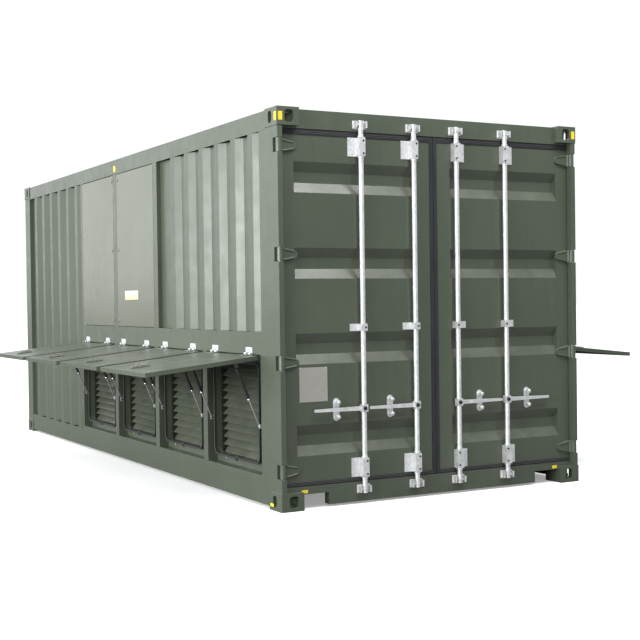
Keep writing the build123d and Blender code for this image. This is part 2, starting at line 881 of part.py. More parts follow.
def hinge_blade(level):
    """Tapered blade on the door face with its barrel round the hinge pin."""
    pin_x, pin_y = door_pin
    half = door_hinge_height / 2
    tip = pin_x - door_blade_reach
    shoulder = tip + door_blade_taper
    face = -door_front
    front = face - door_blade_thickness
    root = door_edge - door_blade_start
    neck_end = door_edge - door_neck_start
    inner_side = pin_x - door_barrel_radius
    with BuildSketch(Plane.XZ.offset(-face)) as outline:
        with BuildLine():
            Polyline([(root, level - half), (shoulder, level - door_blade_tip_height / 2),
                      (tip, level - door_blade_tip_height / 4), (tip, level + door_blade_tip_height / 4),
                      (shoulder, level + door_blade_tip_height / 2), (root, level + half)], close=True)
        make_face()
    extrude(to_extrude=outline.sketch, amount=door_blade_thickness)
    with BuildSketch(Plane.XY.offset(level - half)) as neck:
        with BuildLine():
            Polyline([(pin_x + 2, pin_y + door_barrel_radius - 1), (pin_x - 5, face), (neck_end, face),
                      (neck_end, front), (door_edge - door_neck_front, front),
                      (inner_side + 4, pin_y + 5)], close=True)
        make_face()
    extrude(to_extrude=neck.sketch, amount=door_hinge_height)
    shaft((pin_x, pin_y, level), door_barrel_radius, door_hinge_height)
    shaft((pin_x, pin_y, level), door_pin_radius + running_fit, door_hinge_height + 2, mode=Mode.SUBTRACT)


def door_recess_places():
    """Middle heights of the pressed recesses, from the top one down to the last that fits."""
    foot = door_recess_half + door_slope
    places = []
    place = top_member_bottom
    for step in door_recess_steps:
        place -= step
        if place - foot > bottom_member_top:
            places.append(place)
    return sorted(places)


def door_panel(side):
    """Cargo door: folded members round a sheet with horizontal pressed recesses, and its hinge blades."""
    inner = gasket_half_width
    sheet_inner = inner + centre_stile
    sheet_outer = door_edge - hinge_stile
    foot = door_recess_half + door_slope
    front = [(bottom_member_top, 0)]
    for centre in door_recess_places():
        front += [(centre - foot, 0), (centre - door_recess_half, recess_depth),
                  (centre + door_recess_half, recess_depth), (centre + foot, 0)]
    front.append((top_member_bottom, 0))
    outline = front + [(level, depth + sheet) for level, depth in reversed(front)]
    with BuildPart() as panel:
        with BuildSketch(Plane.YZ.offset(sheet_inner)):
            with BuildLine():
                Polyline([(-door_front + depth, level) for level, depth in outline], close=True)
            make_face()
        extrude(amount=sheet_outer - sheet_inner)
        member((sheet_outer, door_edge), (door_bottom, door_top))
        member((inner, sheet_inner), (door_bottom, door_top))
        member((sheet_inner, sheet_outer), (top_member_bottom, door_top))
        member((sheet_inner, sheet_outer), (door_bottom, bottom_member_top))
        for level in door_hinge_heights:
            hinge_blade(level)
        if side < 0:
            mirror(about=Plane.YZ, mode=Mode.REPLACE)
    return panel


def door_gasket(side):
    """Rubber strip round the edge of a cargo door."""
    levels = (sill_top + gasket_clearance, rail_bottom - gasket_clearance)
    depth = (-door_front - gasket_inset, -door_front - gasket_inset + gasket_depth)
    inside = (depth[0] - 1, depth[1] + 1)
    with BuildPart() as gasket:
        block((gasket_half_gap, post_inner - 1), depth, levels)
        block((gasket_half_width, door_edge), inside, (door_bottom, door_top), Mode.SUBTRACT)
        block((door_edge, post_inner), (depth[0] - 1, -door_front), (door_bottom, door_top), Mode.SUBTRACT)
        if side < 0:
            mirror(about=Plane.YZ, mode=Mode.REPLACE)
    return gasket


def rod_bearing(place, levels):
    """Base plate reaching towards the hinges, with a bored cover over the rod."""
    low, high = levels
    face = -door_front
    block((place - bearing_half_width, place + bearing_plate_width - bearing_half_width),
          (face - bearing_plate, face), (low, high))
    block((place - bearing_half_width, place + bearing_half_width),
          (rod_y - rod_radius - bearing_cover, face), (low, high))
    shaft((place, rod_y, (low + high) / 2), rod_radius + running_fit, high - low + 2, mode=Mode.SUBTRACT)


def handle_catch(place):
    """Oblong plate with two bosses that the handle lies between."""
    face = -door_front
    with BuildSketch(Plane.XZ.offset(-face)) as outline:
        with Locations((place, handle_height)):
            SlotOverall(catch_length, catch_width, rotation=90)
    extrude(to_extrude=outline.sketch, amount=catch_plate)
    for offset in (-catch_boss_offset, catch_boss_offset):
        shaft((place, face - catch_boss_height / 2, handle_height + offset), catch_boss_radius,
              catch_boss_height, (90, 0, 0))


def door_fittings(side):
    """Rod bearings and handle catches of one cargo door."""
    with BuildPart() as fittings:
        for place in rod_positions:
            for levels in bearing_ranges:
                rod_bearing(place, levels)
            handle_catch(place + catch_from_rod)
        if side < 0:
            mirror(about=Plane.YZ, mode=Mode.REPLACE)
    return fittings


def blank_plate():
    """Bare data plate on the left door."""
    far = door_edge - data_plate_from_edge
    with BuildPart() as panel:
        block((-far, data_plate_width - far), (-door_front - data_plate_thickness, -door_front),
              data_plate_levels)
    return panel


def lock_rod(side, place):
    """Lock rod with a cam at each end, a hub and a flat handle towards the hinge side."""
    with BuildPart() as rod:
        shaft((place, rod_y, (rod_top + rod_bottom) / 2), rod_radius, rod_top - rod_bottom)
        for level in keeper_heights:
            shaft((place, rod_y, level), cam_radius, cam_thickness)
            block((place, place + cam_length), (rod_y - cam_radius / 2, rod_y + cam_radius / 2),
                  (level - cam_thickness / 2, level + cam_thickness / 2))
        block((place - hub_width / 2, place + hub_width / 2), (rod_y - hub_depth / 2, rod_y + hub_depth / 2),
              (handle_height - hub_height / 2, handle_height + hub_height / 2))
        with BuildSketch(Plane.XZ.offset(-rod_y - handle_thickness / 2)):
            with BuildLine():
                Polyline([(place, handle_height - handle_root / 2),
                          (place + handle_length, handle_height - handle_tip / 2),
                          (place + handle_length, handle_height + handle_tip / 2),
                          (place, handle_height + handle_root / 2)], close=True)
            make_face()
        extrude(amount=handle_thickness)
        if side < 0:
            mirror(about=Plane.YZ, mode=Mode.REPLACE)
    return rod


def rod_keepers():
    """Keepers on header and sill: a plate with a lug on each side of the cam."""
    face = -header_front
    plate_front = face - keeper_plate_thickness
    half = keeper_plate_height / 2
    lug_half = half - keeper_lug_inset
    with BuildPart() as keepers:
        for place in rod_positions:
            for level in keeper_heights:
                block((place - keeper_plate_half, place + keeper_plate_half), (plate_front, face),
                      (level - half, level + half))
                for offset in (-1, 1):
                    near = place + offset * keeper_lug_inside
                    far = place + offset * (keeper_lug_inside + keeper_lug_thickness)
                    block((near, far), (rod_y - rod_radius, plate_front),
                          (level - lug_half, level + lug_half))
        mirror(about=Plane.YZ)
    return keepers


def door_pins():
    """Hinge pins that stand in the slots of the front posts."""
    with BuildPart() as pins:
        for level in door_hinge_heights:
            shaft((door_pin[0], door_pin[1], level), door_pin_radius, door_hinge_height + 4)
        mirror(about=Plane.YZ)
    return pins


# ---------------------------------------------------------------- outlets
def outlet_door(side, span, hinge_end):
    """Flush outlet door: a folded tray with pivot bosses on its hinge edge and locks on the other."""
    start = span[0] + outlet_gap
    end = span[1] - outlet_gap
    low = outlet_bottom + outlet_gap
    high = outlet_top - outlet_gap
    back = side_face - outlet_depth
    pivot = outlet_pivot(span, hinge_end)
    lock = end - outlet_lock_from_edge if hinge_end < 0 else start + outlet_lock_from_edge
    with BuildPart() as door:
        block((back, side_face), (start, end), (low, high))
        block((back - 1, side_face - sheet), (start + sheet, end - sheet), (low + sheet, high - sheet),
              Mode.SUBTRACT)
        for level in (low + outlet_pin_length / 2, high - outlet_pin_length / 2):
            block((back, side_face), (pivot - outlet_boss / 2, pivot + outlet_boss / 2),
                  (level - outlet_pin_length / 2, level + outlet_pin_length / 2), Mode.ADD)
            shaft((side_face - outlet_pin_from_face, pivot, level), outlet_pin_radius + running_fit,
                  outlet_pin_length + 2, mode=Mode.SUBTRACT)
        for level in outlet_lock_heights:
            shaft((side_face, lock, level), outlet_lock_radius, 2 * sheet, (0, 90, 0))
        if side < 0:
            mirror(about=Plane.YZ, mode=Mode.REPLACE)
    return door


def outlet_pivot(span, hinge_end):
    """Station of the pivot line of an outlet door."""
    inset = outlet_gap + outlet_pin_from_edge
    return span[0] + inset if hinge_end < 0 else span[1] - inset


def outlet_pins():
    """Pivot pins at the head and foot of each outlet door."""
    with BuildPart() as pins:
        for span, hinge_end in ((outlet_near, -1), (outlet_far, 1)):
            for level, out in ((outlet_bottom, 1), (outlet_top, -1)):
                middle = level + out * outlet_pin_length / 2
                shaft((side_face - outlet_pin_from_face, outlet_pivot(span, hinge_end), middle),
                      outlet_pin_radius, outlet_pin_length)
        mirror(about=Plane.YZ)
    return pins


# ---------------------------------------------------------------- inside
def fan_places():
    """Stations of the two fans, each under the middle of its outlet door."""
    return [(start + end) / 2 for start, end in (outlet_near, outlet_far)]


def bulkheads():
    """Sheet at each end of the fan deck, up to the roof."""
    wall = side_face - rail_width
    top = rail_top - roof_drop - roof_recess_depth
    with BuildPart() as sheets:
        for station in (-bay_front, bay_rear - plate):
            block((-wall, wall), (station, station + plate), (deck_top, top))
    return sheets


def fan_deck():
    """Deck with two shrouded openings over pairs of beams."""
    ring = fan_radius + fan_tip_gap
    beam_reach = ring + beam_width
    with BuildPart() as deck:
        block((-frame_inner, frame_inner), (-bay_front, bay_rear), (outlet_bottom, deck_top))
        for station in fan_places():
            shaft((0, station, deck_top + shroud_height / 2), ring + plate, shroud_height)
            shaft((0, station, deck_top), ring, 3 * shroud_height, mode=Mode.SUBTRACT)
            for side in (-1, 1):
                near = side * beam_gap / 2
                far = side * (beam_gap / 2 + beam_width)
                block((near, far), (station - beam_reach, station + beam_reach),
                      (outlet_bottom - beam_height, outlet_bottom))
    return deck


def fan_motors():
    """Motor under each pair of beams, with its shaft up through the hub."""
    top = outlet_bottom - beam_height
    tip = deck_top + hub_lift + hub_thick
    with BuildPart() as motors:
        for station in fan_places():
            shaft((0, station, top - motor_height / 2), motor_radius, motor_height)
            shaft((0, station, (top + tip) / 2), shaft_radius, tip - top)
    return motors


def fan_rotor(station):
    middle = deck_top + hub_lift + hub_thick / 2
    span = fan_radius - hub_radius + blade_root
    with BuildPart() as rotor:
        shaft((0, station, middle), hub_radius, hub_thick)
        with Locations((0, station, middle)):
            with PolarLocations(hub_radius - blade_root + span / 2, blade_count):
                with Locations(Location((0, 0, 0), (blade_tilt, 0, 0))):
                    Box(span, blade_chord, blade_thick)
        shaft((0, station, middle), shaft_radius + running_fit, hub_thick + 2, mode=Mode.SUBTRACT)
    return rotor


def resistor_banks():
    """Rack of heating elements over each fan: end plates, rods between them and feet on the deck."""
    with BuildPart() as banks:
        for station in fan_places():
            ends = (station - bank_length / 2, station + bank_length / 2)
            for place in (ends[0], ends[1] - bank_plate):
                block((-bank_width / 2, bank_width / 2), (place, place + bank_plate),
                      (bank_bottom, bank_bottom + bank_height))
            for side in (-1, 1):
                for place in (ends[0], ends[1] - bank_foot):
                    edge = side * bank_width / 2
                    inside = side * (bank_width / 2 - bank_foot)
                    block((edge, inside), (place, place + bank_foot), (deck_top, bank_bottom + bank_height))
            for row in range(element_rows):
                level = bank_bottom + bank_height * (row + 0.5) / element_rows
                for column in range(element_columns):
                    across = bank_width * ((column + 0.5) / element_columns - 0.5)
                    shaft((across, station, level), element_radius, bank_length - bank_plate, (90, 0, 0))
    return banks


def cabinet_body():
    floor = sill_top + floor_thickness
    back = -cabinet_front + cabinet_depth
    half = cabinet_width / 2
    with BuildPart() as body:
        block((-half, half), (-cabinet_front, back), (floor, floor + cabinet_height))
        block((-half + plate, half - plate), (-cabinet_front - 1, back - plate),
              (floor + cabinet_plinth, floor + cabinet_height - plate), Mode.SUBTRACT)
    return body


def cabinet_leaves():
    floor = sill_top + floor_thickness
    with BuildPart() as leaves:
        for side in (-1, 1):
            block((side * cabinet_leaf_gap / 2, side * cabinet_width / 2),
                  (-cabinet_front - cabinet_leaf, -cabinet_front),
                  (floor + cabinet_plinth + cabinet_plinth_gap, floor + cabinet_height))
    return leaves


def cabinet_fittings():
    """Grip on each leaf and a row of indicator lamps above them."""
    floor = sill_top + floor_thickness
    face = -cabinet_front - cabinet_leaf
    grip_middle = floor + cabinet_height / 2
    with BuildPart() as fittings:
        for side in (-1, 1):
            place = side * cabinet_grip_from_middle
            block((place - cabinet_grip_width / 2, place + cabinet_grip_width / 2),
                  (face - cabinet_grip_depth, face),
                  (grip_middle - cabinet_grip_height / 2, grip_middle + cabinet_grip_height / 2))
        for i in range(cabinet_lamp_count):
            place = (i - (cabinet_lamp_count - 1) / 2) * cabinet_lamp_pitch
            shaft((place, face - cabinet_lamp_depth / 2, floor + cabinet_lamp_level), cabinet_lamp_radius,
                  cabinet_lamp_depth, (90, 0, 0))
    return fittings


# ---------------------------------------------------------------- export
def build_all():
    export_node("corner_castings", corner_castings())
    export_node("container_frame", *container_frame())
    export_node("wall_panels", *wall_panels())
    export_node("roof_panel", roof_panel())
    export_node("floor_base", *floor_base())
    export_node("intake_frames", intake_frames())
    export_node("intake_seals", intake_seals())
    export_node("intake_louvres", intake_louvres())
    export_node("frame_hardware", strut_feet(), flap_hinges(), rod_keepers(), door_pins(), outlet_pins())
    export_node("fan_deck", fan_deck(), bulkheads(), fan_motors())
    export_node("resistor_banks", resistor_banks())
    export_node("control_cabinet", cabinet_body(), cabinet_leaves(), cabinet_fittings())
    for number, station in enumerate(fan_places(), 1):
        export_node(f"fan_rotor_{number}", fan_rotor(station))
    for hand, side in (("left", -1), ("right", 1)):
        export_node(f"{hand}_door_panel", door_panel(side))
        export_node(f"{hand}_door_gasket", door_gasket(side))
        plates = (blank_plate(),) if side < 0 else ()
        export_node(f"{hand}_door_fittings", door_fittings(side), *plates)
        for name, place in zip(("inner", "outer"), rod_positions):
            export_node(f"{hand}_{name}_lock_rod", lock_rod(side, place))
        for name, span, hinge_end in (("front", outlet_near, -1), ("rear", outlet_far, 1)):
            export_node(f"{hand}_{name}_outlet_door", outlet_door(side, span, hinge_end))
        for number, centre in enumerate(intake_centres, 1):
            place = flap_plane(side, centre)
            tag = f"{hand}_{number}"
            export_node(f"flap_{tag}", flap_tray(place), flap_leaves(place), latch_base(place))
            export_node(f"flap_latch_{tag}", flap_latch(place))
            ends = (centre - strut_lateral, centre + strut_lateral)
            export_node(f"strut_cylinder_{tag}", *[strut_cylinder(side, end) for end in ends])
            export_node(f"strut_rod_{tag}", *[strut_rod(side, end) for end in ends])


os.makedirs("parts", exist_ok=True)
build_all()
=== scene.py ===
"""Looks of the generator load bank: paint, galvanised fittings, rubber, labels and small hardware.

Metres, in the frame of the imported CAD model. Every place comes from the CAD nodes' boxes or from the joints.
"""
import bmesh
import bpy
import json
from math import cos, pi, radians, sin, tau
from mathutils import Matrix, Vector

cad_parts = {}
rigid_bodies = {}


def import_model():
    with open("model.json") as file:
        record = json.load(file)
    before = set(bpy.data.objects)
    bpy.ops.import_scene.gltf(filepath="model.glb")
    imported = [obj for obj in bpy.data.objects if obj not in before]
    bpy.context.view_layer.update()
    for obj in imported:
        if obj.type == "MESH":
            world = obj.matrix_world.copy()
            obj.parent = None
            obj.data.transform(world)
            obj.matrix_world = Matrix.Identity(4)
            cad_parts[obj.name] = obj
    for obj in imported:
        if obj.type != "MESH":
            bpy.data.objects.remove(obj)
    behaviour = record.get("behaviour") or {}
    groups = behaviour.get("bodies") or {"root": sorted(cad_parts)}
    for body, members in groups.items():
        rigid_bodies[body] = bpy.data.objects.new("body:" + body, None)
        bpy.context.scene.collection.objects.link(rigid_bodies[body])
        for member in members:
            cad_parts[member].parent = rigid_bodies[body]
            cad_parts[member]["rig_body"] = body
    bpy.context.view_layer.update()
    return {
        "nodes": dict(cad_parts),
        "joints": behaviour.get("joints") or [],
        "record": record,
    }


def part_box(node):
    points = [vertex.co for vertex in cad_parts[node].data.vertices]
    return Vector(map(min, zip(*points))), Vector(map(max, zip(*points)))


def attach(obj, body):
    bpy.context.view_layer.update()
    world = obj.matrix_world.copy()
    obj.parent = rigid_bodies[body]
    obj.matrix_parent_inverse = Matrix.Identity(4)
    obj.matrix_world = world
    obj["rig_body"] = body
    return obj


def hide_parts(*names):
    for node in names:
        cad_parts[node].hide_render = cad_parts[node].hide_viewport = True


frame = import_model()
record = frame["record"]
joints = {joint["name"]: joint for joint in frame["joints"]}

SLOTS = {part["node"]: part["material_slot"] for part in record["subparts"]}
SIDES = {"left": -1, "right": 1}
FLAPS = [f"{hand}_{number}" for hand in SIDES for number in (1, 2, 3, 4)]

# Camera, recovered from the container's corners
CAMERA_PLACE = (-4.6473, -9.8509, 1.3568)
CAMERA_AZIMUTH = -28.615
CAMERA_ELEVATION = 0.967
CAMERA_ROLL = -0.778
CAMERA_LENS = 67.6
CAMERA_SENSOR = 36.0
CAMERA_CLIP = 200.0

# Edge rounding of the CAD copies, and the angles in degrees above which an edge is rounded
PLATE_EDGE = 0.0022
PANEL_EDGE = 0.003
OUTLET_EDGE = 0.002
FRAME_EDGE = 0.005
CASTING_EDGE = 0.007
FITTING_EDGE = 0.0016
RUBBER_EDGE = 0.004
EDGE_STEPS = 2
EDGE_ANGLE = 32
FOLD_ANGLE = 18
WELD_DISTANCE = 1e-5
FLAT_ANGLE = 0.6
SHADING_EDGE = 0.0025


# ---------------------------------------------------------------- materials
class Look:
    """A Principled material being wired up."""

    def __init__(self, name, **sockets):
        self.material = bpy.data.materials.new(name)
        self.material.use_nodes = True
        self.nodes = self.material.node_tree.nodes
        self.shader = self.nodes["Principled BSDF"]
        self.coordinate = self.nodes.new("ShaderNodeTexCoord").outputs["Object"]
        for key, value in sockets.items():
            self.shader.inputs[key.replace("_", " ")].default_value = value

    def link(self, source, target):
        self.material.node_tree.links.new(source, target)

    def noise(self, scale, detail=3.0, roughness=0.5, stretch=(1, 1, 1), distortion=0.0):
        """Noise value over the object's own coordinates."""
        mapping = self.nodes.new("ShaderNodeMapping")
        mapping.inputs["Scale"].default_value = stretch
        self.link(self.coordinate, mapping.inputs["Vector"])
        noise = self.nodes.new("ShaderNodeTexNoise")
        noise.inputs["Scale"].default_value = scale
        noise.inputs["Detail"].default_value = detail
        noise.inputs["Roughness"].default_value = roughness
        noise.inputs["Distortion"].default_value = distortion
        self.link(mapping.outputs["Vector"], noise.inputs["Vector"])
        return noise.outputs["Fac"]

    def remap(self, value, low, high, to_low=0.0, to_high=1.0):
        remap = self.nodes.new("ShaderNodeMapRange")
        for key, number in (("From Min", low), ("From Max", high), ("To Min", to_low), ("To Max", to_high)):
            remap.inputs[key].default_value = number
        self.link(value, remap.inputs["Value"])
        return remap.outputs["Result"]

    def maths(self, operation, first, second=None, clamp=False):
        node = self.nodes.new("ShaderNodeMath")
        node.operation = operation
        node.use_clamp = clamp
        for socket, value in zip(node.inputs, (first, second)):
            if value is None:
                continue
            if isinstance(value, (int, float)):
                socket.default_value = value
            else:
                self.link(value, socket)
        return node.outputs["Value"]

    def mix(self, factor, first, second, blend="MIX"):
        """Mix of two colours, each a tuple or a socket."""
        node = self.nodes.new("ShaderNodeMix")
        node.data_type = "RGBA"
        node.blend_type = blend
        factor_socket, first_socket, second_socket = node.inputs[0], node.inputs[6], node.inputs[7]
        for socket, value in ((factor_socket, factor), (first_socket, first), (second_socket, second)):
            if isinstance(value, (int, float)):
                socket.default_value = value
            elif isinstance(value, tuple):
                socket.default_value = (*value, 1.0)
            else:
                self.link(value, socket)
        return node.outputs[2]

    def soften(self, radius):
        """Round the edges in the shading only."""
        self.link(self.rounded_normal(radius), self.shader.inputs["Normal"])

    def bump(self, height, strength, distance):
        bump = self.nodes.new("ShaderNodeBump")
        bump.inputs["Strength"].default_value = strength
        bump.inputs["Distance"].default_value = distance
        previous = self.shader.inputs["Normal"].links
        if previous:
            self.link(previous[0].from_socket, bump.inputs["Normal"])
        self.link(height, bump.inputs["Height"])
        self.link(bump.outputs["Normal"], self.shader.inputs["Normal"])

    def upward(self):
        """How far the surface faces up, from 0 to 1."""
        geometry = self.nodes.new("ShaderNodeNewGeometry")
        split = self.nodes.new("ShaderNodeSeparateXYZ")
        self.link(geometry.outputs["Normal"], split.inputs["Vector"])
        return self.maths("MAXIMUM", split.outputs["Z"], 0.0)

    def inward(self, limit):
        """1 where the surface lies nearer the middle plane than the limit, else 0."""
        split = self.nodes.new("ShaderNodeSeparateXYZ")
        self.link(self.coordinate, split.inputs["Vector"])
        distance = self.maths("ABSOLUTE", split.outputs["X"])
        return self.maths("LESS_THAN", distance, limit)

    def rounded_normal(self, radius):
        bevel = self.nodes.new("ShaderNodeBevel")
        bevel.samples = 4
        bevel.inputs["Radius"].default_value = radius
        return bevel.outputs["Normal"]

    def edges(self, radius, gain):
        """Mask of convex and concave edges, from the difference of the rounded normal."""
        bevel = self.rounded_normal(radius)
        geometry = self.nodes.new("ShaderNodeNewGeometry")
        dot = self.nodes.new("ShaderNodeVectorMath")
        dot.operation = "DOT_PRODUCT"
        self.link(bevel, dot.inputs[0])
        self.link(geometry.outputs["Normal"], dot.inputs[1])
        turned = self.maths("SUBTRACT", 1.0, dot.outputs["Value"])
        return self.maths("MULTIPLY", turned, gain, clamp=True)

    def colour(self, source):
        self.link(source, self.shader.inputs["Base Color"])

    def roughness(self, source):
        self.link(source, self.shader.inputs["Roughness"])


def shade(colour, factor):
    return tuple(channel * factor for channel in colour)


def painted(name, colour, roughness, dust=0.25, streak=0.35, peel=0.05, wave=0.0, painted_shade_from=None):
    """Sprayed enamel: slow tone drift, rain streaks, dust on ledges, worn edges and orange peel.

    Nearer the middle plane than the given limit it turns near black: painted shade inside the intake recesses.
    """
    look = Look(name, Roughness=roughness)
    look.soften(SHADING_EDGE)
    look.shader.inputs["Coat Weight"].default_value = 0.15
    look.shader.inputs["Coat Roughness"].default_value = 0.2
    drift = look.remap(look.noise(1.3, 4.0), 0.32, 0.68)
    tone = look.mix(drift, shade(colour, 0.9), shade(colour, 1.08))
    speck = look.remap(look.noise(260.0, 2.0), 0.35, 0.65)
    tone = look.mix(look.maths("MULTIPLY", speck, 0.12), tone, shade(colour, 1.25))
    runs = look.remap(look.noise(7.0, 5.0, 0.6, (4.0, 4.0, 0.22)), 0.5, 0.74)
    tone = look.mix(look.maths("MULTIPLY", runs, streak), tone, shade(colour, 0.72))
    patches = look.remap(look.noise(5.0, 6.0, 0.65), 0.35, 0.7)
    settled = look.maths("MULTIPLY", look.maths("MULTIPLY", look.upward(), patches), dust)
    tone = look.mix(settled, tone, DUST)
    worn = look.maths("MULTIPLY", look.edges(0.004, 5.0), look.remap(look.noise(34.0, 5.0), 0.42, 0.7))
    tone = look.mix(look.maths("MULTIPLY", worn, 0.35), tone, shade(colour, 1.9))
    # Painted shade: near black on the surfaces that lie inside the intake sleeves, where the recess is in
    # shadow
    if painted_shade_from:
        tone = look.mix(look.inward(painted_shade_from), tone, RECESS_PAINTED_SHADE)
    look.colour(tone)
    look.roughness(look.remap(look.noise(9.0, 5.0), 0.3, 0.7, roughness * 0.82, roughness * 1.2))
    look.bump(look.noise(420.0, 2.0), peel, 0.0006)
    if wave:
        look.bump(look.noise(2.1, 1.0), wave, 0.02)
    return look.material


def galvanised(name, colour, roughness, grain):
    """Hot-dip zinc: spangle cells, dull patches and a slightly rough skin."""
    look = Look(name, Metallic=0.6, Roughness=roughness)
    cells = look.nodes.new("ShaderNodeTexVoronoi")
    cells.inputs["Scale"].default_value = grain
    look.link(look.coordinate, cells.inputs["Vector"])
    value = look.nodes.new("ShaderNodeSeparateColor")
    look.link(cells.outputs["Color"], value.inputs["Color"])
    spangle = value.outputs["Red"]
    tone = look.mix(spangle, shade(colour, 0.86), shade(colour, 1.04))
    dull = look.remap(look.noise(26.0, 5.0, 0.6), 0.45, 0.72)
    tone = look.mix(look.maths("MULTIPLY", dull, 0.35), tone, shade(colour, 0.62))
    look.colour(tone)
    rough = look.maths("ADD", look.remap(spangle, 0.0, 1.0, roughness * 0.8, roughness * 1.15),
                       look.maths("MULTIPLY", dull, 0.12))
    look.roughness(rough)
    look.bump(look.noise(180.0, 4.0), 0.12, 0.0008)
    return look.material


def rubber(name, colour):
    """Door and edge rubber: fine grain, grey bloom and dust on the upper faces."""
    look = Look(name, Roughness=0.6)
    bloom = look.remap(look.noise(14.0, 5.0, 0.6), 0.4, 0.72)
    tone = look.mix(look.maths("MULTIPLY", bloom, 0.4), colour, shade(colour, 2.1))
    tone = look.mix(look.maths("MULTIPLY", look.upward(), 0.25), tone, (0.2, 0.19, 0.17))
    look.colour(tone)
    look.roughness(look.remap(bloom, 0.0, 1.0, 0.5, 0.72))
    look.bump(look.noise(600.0, 3.0), 0.15, 0.0004)
    return look.material


def turned_metal(name, colour, roughness, stretch):
    """Machined or rolled metal with fine marks along one direction."""
    look = Look(name, Metallic=1.0, Roughness=roughness)
    marks = look.noise(240.0, 3.0, 0.6, stretch)
    smear = look.remap(look.noise(11.0, 4.0), 0.4, 0.75)
    tone = look.mix(look.remap(marks, 0.35, 0.65), shade(colour, 0.88), colour)
    tone = look.mix(look.maths("MULTIPLY", smear, 0.3), tone, shade(colour, 0.6))
    look.colour(tone)
    look.roughness(look.remap(marks, 0.3, 0.7, roughness * 0.75, roughness * 1.35))
    look.bump(marks, 0.06, 0.0004)
    return look.material


def heated_steel(name):
    """Heating elements: straw and blue temper colours over dull steel."""
    look = Look(name, Metallic=1.0, Roughness=0.42)
    drift = look.remap(look.noise(3.4, 4.0), 0.35, 0.65)
    tone = look.mix(drift, (0.30, 0.26, 0.21), (0.22, 0.23, 0.29))
    tone = look.mix(look.remap(look.noise(60.0, 4.0), 0.5, 0.7, 0.0, 0.5), tone, (0.13, 0.10, 0.08))
    look.colour(tone)
    look.bump(look.noise(300.0, 3.0), 0.1, 0.0005)
    return look.material


def sticker(name, colour, roughness=0.4):
    """Printed vinyl: slight fading, fine print grain and a soft edge shadow."""
    look = Look(name, Roughness=roughness)
    fade = look.remap(look.noise(18.0, 4.0), 0.35, 0.7)
    tone = look.mix(look.maths("MULTIPLY", fade, 0.22), colour, shade(colour, 0.8))
    look.colour(look.mix(look.maths("MULTIPLY", look.edges(0.002, 4.0), 0.3), tone, shade(colour, 0.55)))
    look.roughness(look.remap(fade, 0.0, 1.0, roughness * 0.8, roughness * 1.2))
    look.bump(look.noise(350.0, 2.0), 0.04, 0.0003)
    return look.material


OLIVE = (0.066, 0.080, 0.056)
OUTLET_OLIVE = (0.100, 0.108, 0.076)
# Near black painted into the intake sleeves as painted shade
RECESS_PAINTED_SHADE = (0.020, 0.018, 0.014)
DUST = (0.36, 0.35, 0.31)
SIDE_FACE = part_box("wall_panels")[1].x
SLEEVE_START = SIDE_FACE - 0.079

MATERIALS = {
    "olive_paint": painted("olive_enamel", OLIVE, 0.36, wave=0.10),
    "outlet_paint": painted("outlet_enamel", OUTLET_OLIVE, 0.22, streak=0.15, wave=0.12),
    "galvanised": galvanised("zinc_spangle", (0.80, 0.81, 0.82), 0.38, 55.0),
    "rubber_black": rubber("door_rubber", (0.016, 0.017, 0.020)),
    "strut_black": painted("strut_black", (0.012, 0.012, 0.013), 0.25, dust=0.1, streak=0.1),
    "rod_chrome": turned_metal("rod_chrome", (0.78, 0.79, 0.80), 0.16, (1, 1, 0.05)),
    "bare_steel": turned_metal("mill_steel", (0.42, 0.43, 0.43), 0.42, (1, 0.08, 1)),
    "fan_alu": turned_metal("cast_aluminium", (0.62, 0.63, 0.64), 0.4, (1, 1, 1)),
    "cabinet_paint": painted("cabinet_grey", (0.42, 0.43, 0.41), 0.42, dust=0.1, streak=0.1),
    "latch_steel": turned_metal("latch_steel", (0.66, 0.66, 0.65), 0.26, (0.1, 1, 1)),
}
# Intake frames: olive enamel with painted shade inside the sleeves
SHADED_SLEEVE = painted("intake_enamel_painted_shade", OLIVE, 0.40, painted_shade_from=SLEEVE_START)
YELLOW = sticker("yellow_vinyl", (0.80, 0.62, 0.03))
WHITE = sticker("white_vinyl", (0.72, 0.72, 0.70))
PALE_YELLOW = sticker("pale_yellow_vinyl", (0.66, 0.60, 0.34))
PLATE_GREY = sticker("data_plate", (0.30, 0.29, 0.27), 0.35)
MOULDING = rubber("black_moulding", (0.012, 0.012, 0.012))
HEATED = heated_steel("tempered_elements")


# ---------------------------------------------------------------- mesh helpers
def object_from(name, mesh_data, material, body, smooth=False):
    """Link a bmesh as a piece that rides on a body."""
    mesh = bpy.data.meshes.new(name)
    mesh_data.normal_update()
    mesh_data.to_mesh(mesh)
    mesh_data.free()
    piece = bpy.data.objects.new(name, mesh)
    bpy.context.scene.collection.objects.link(piece)
    mesh.materials.append(material)
    for polygon in mesh.polygons:
        polygon.use_smooth = smooth
    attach(piece, body)
    return piece


def round_edges(piece, size, angle):
    bevel = piece.modifiers.new("edge", "BEVEL")
    bevel.width = size
    bevel.segments = EDGE_STEPS
    bevel.limit_method = "ANGLE"
    bevel.angle_limit = radians(angle)
    bevel.use_clamp_overlap = True
    bevel.harden_normals = True
    shade_by_angle(piece, angle)


def shade_by_angle(piece, degrees_limit):
    """Smooth faces whose shared edge turns less than the limit."""
    mesh = piece.data
    for polygon in mesh.polygons:
        polygon.use_smooth = True
    work = bmesh.new()
    work.from_mesh(mesh)
    for edge in work.edges:
        sharp = len(edge.link_faces) == 2 and edge.calc_face_angle(0.0) > radians(degrees_limit)
        edge.smooth = not sharp
    work.to_mesh(mesh)
    work.free()


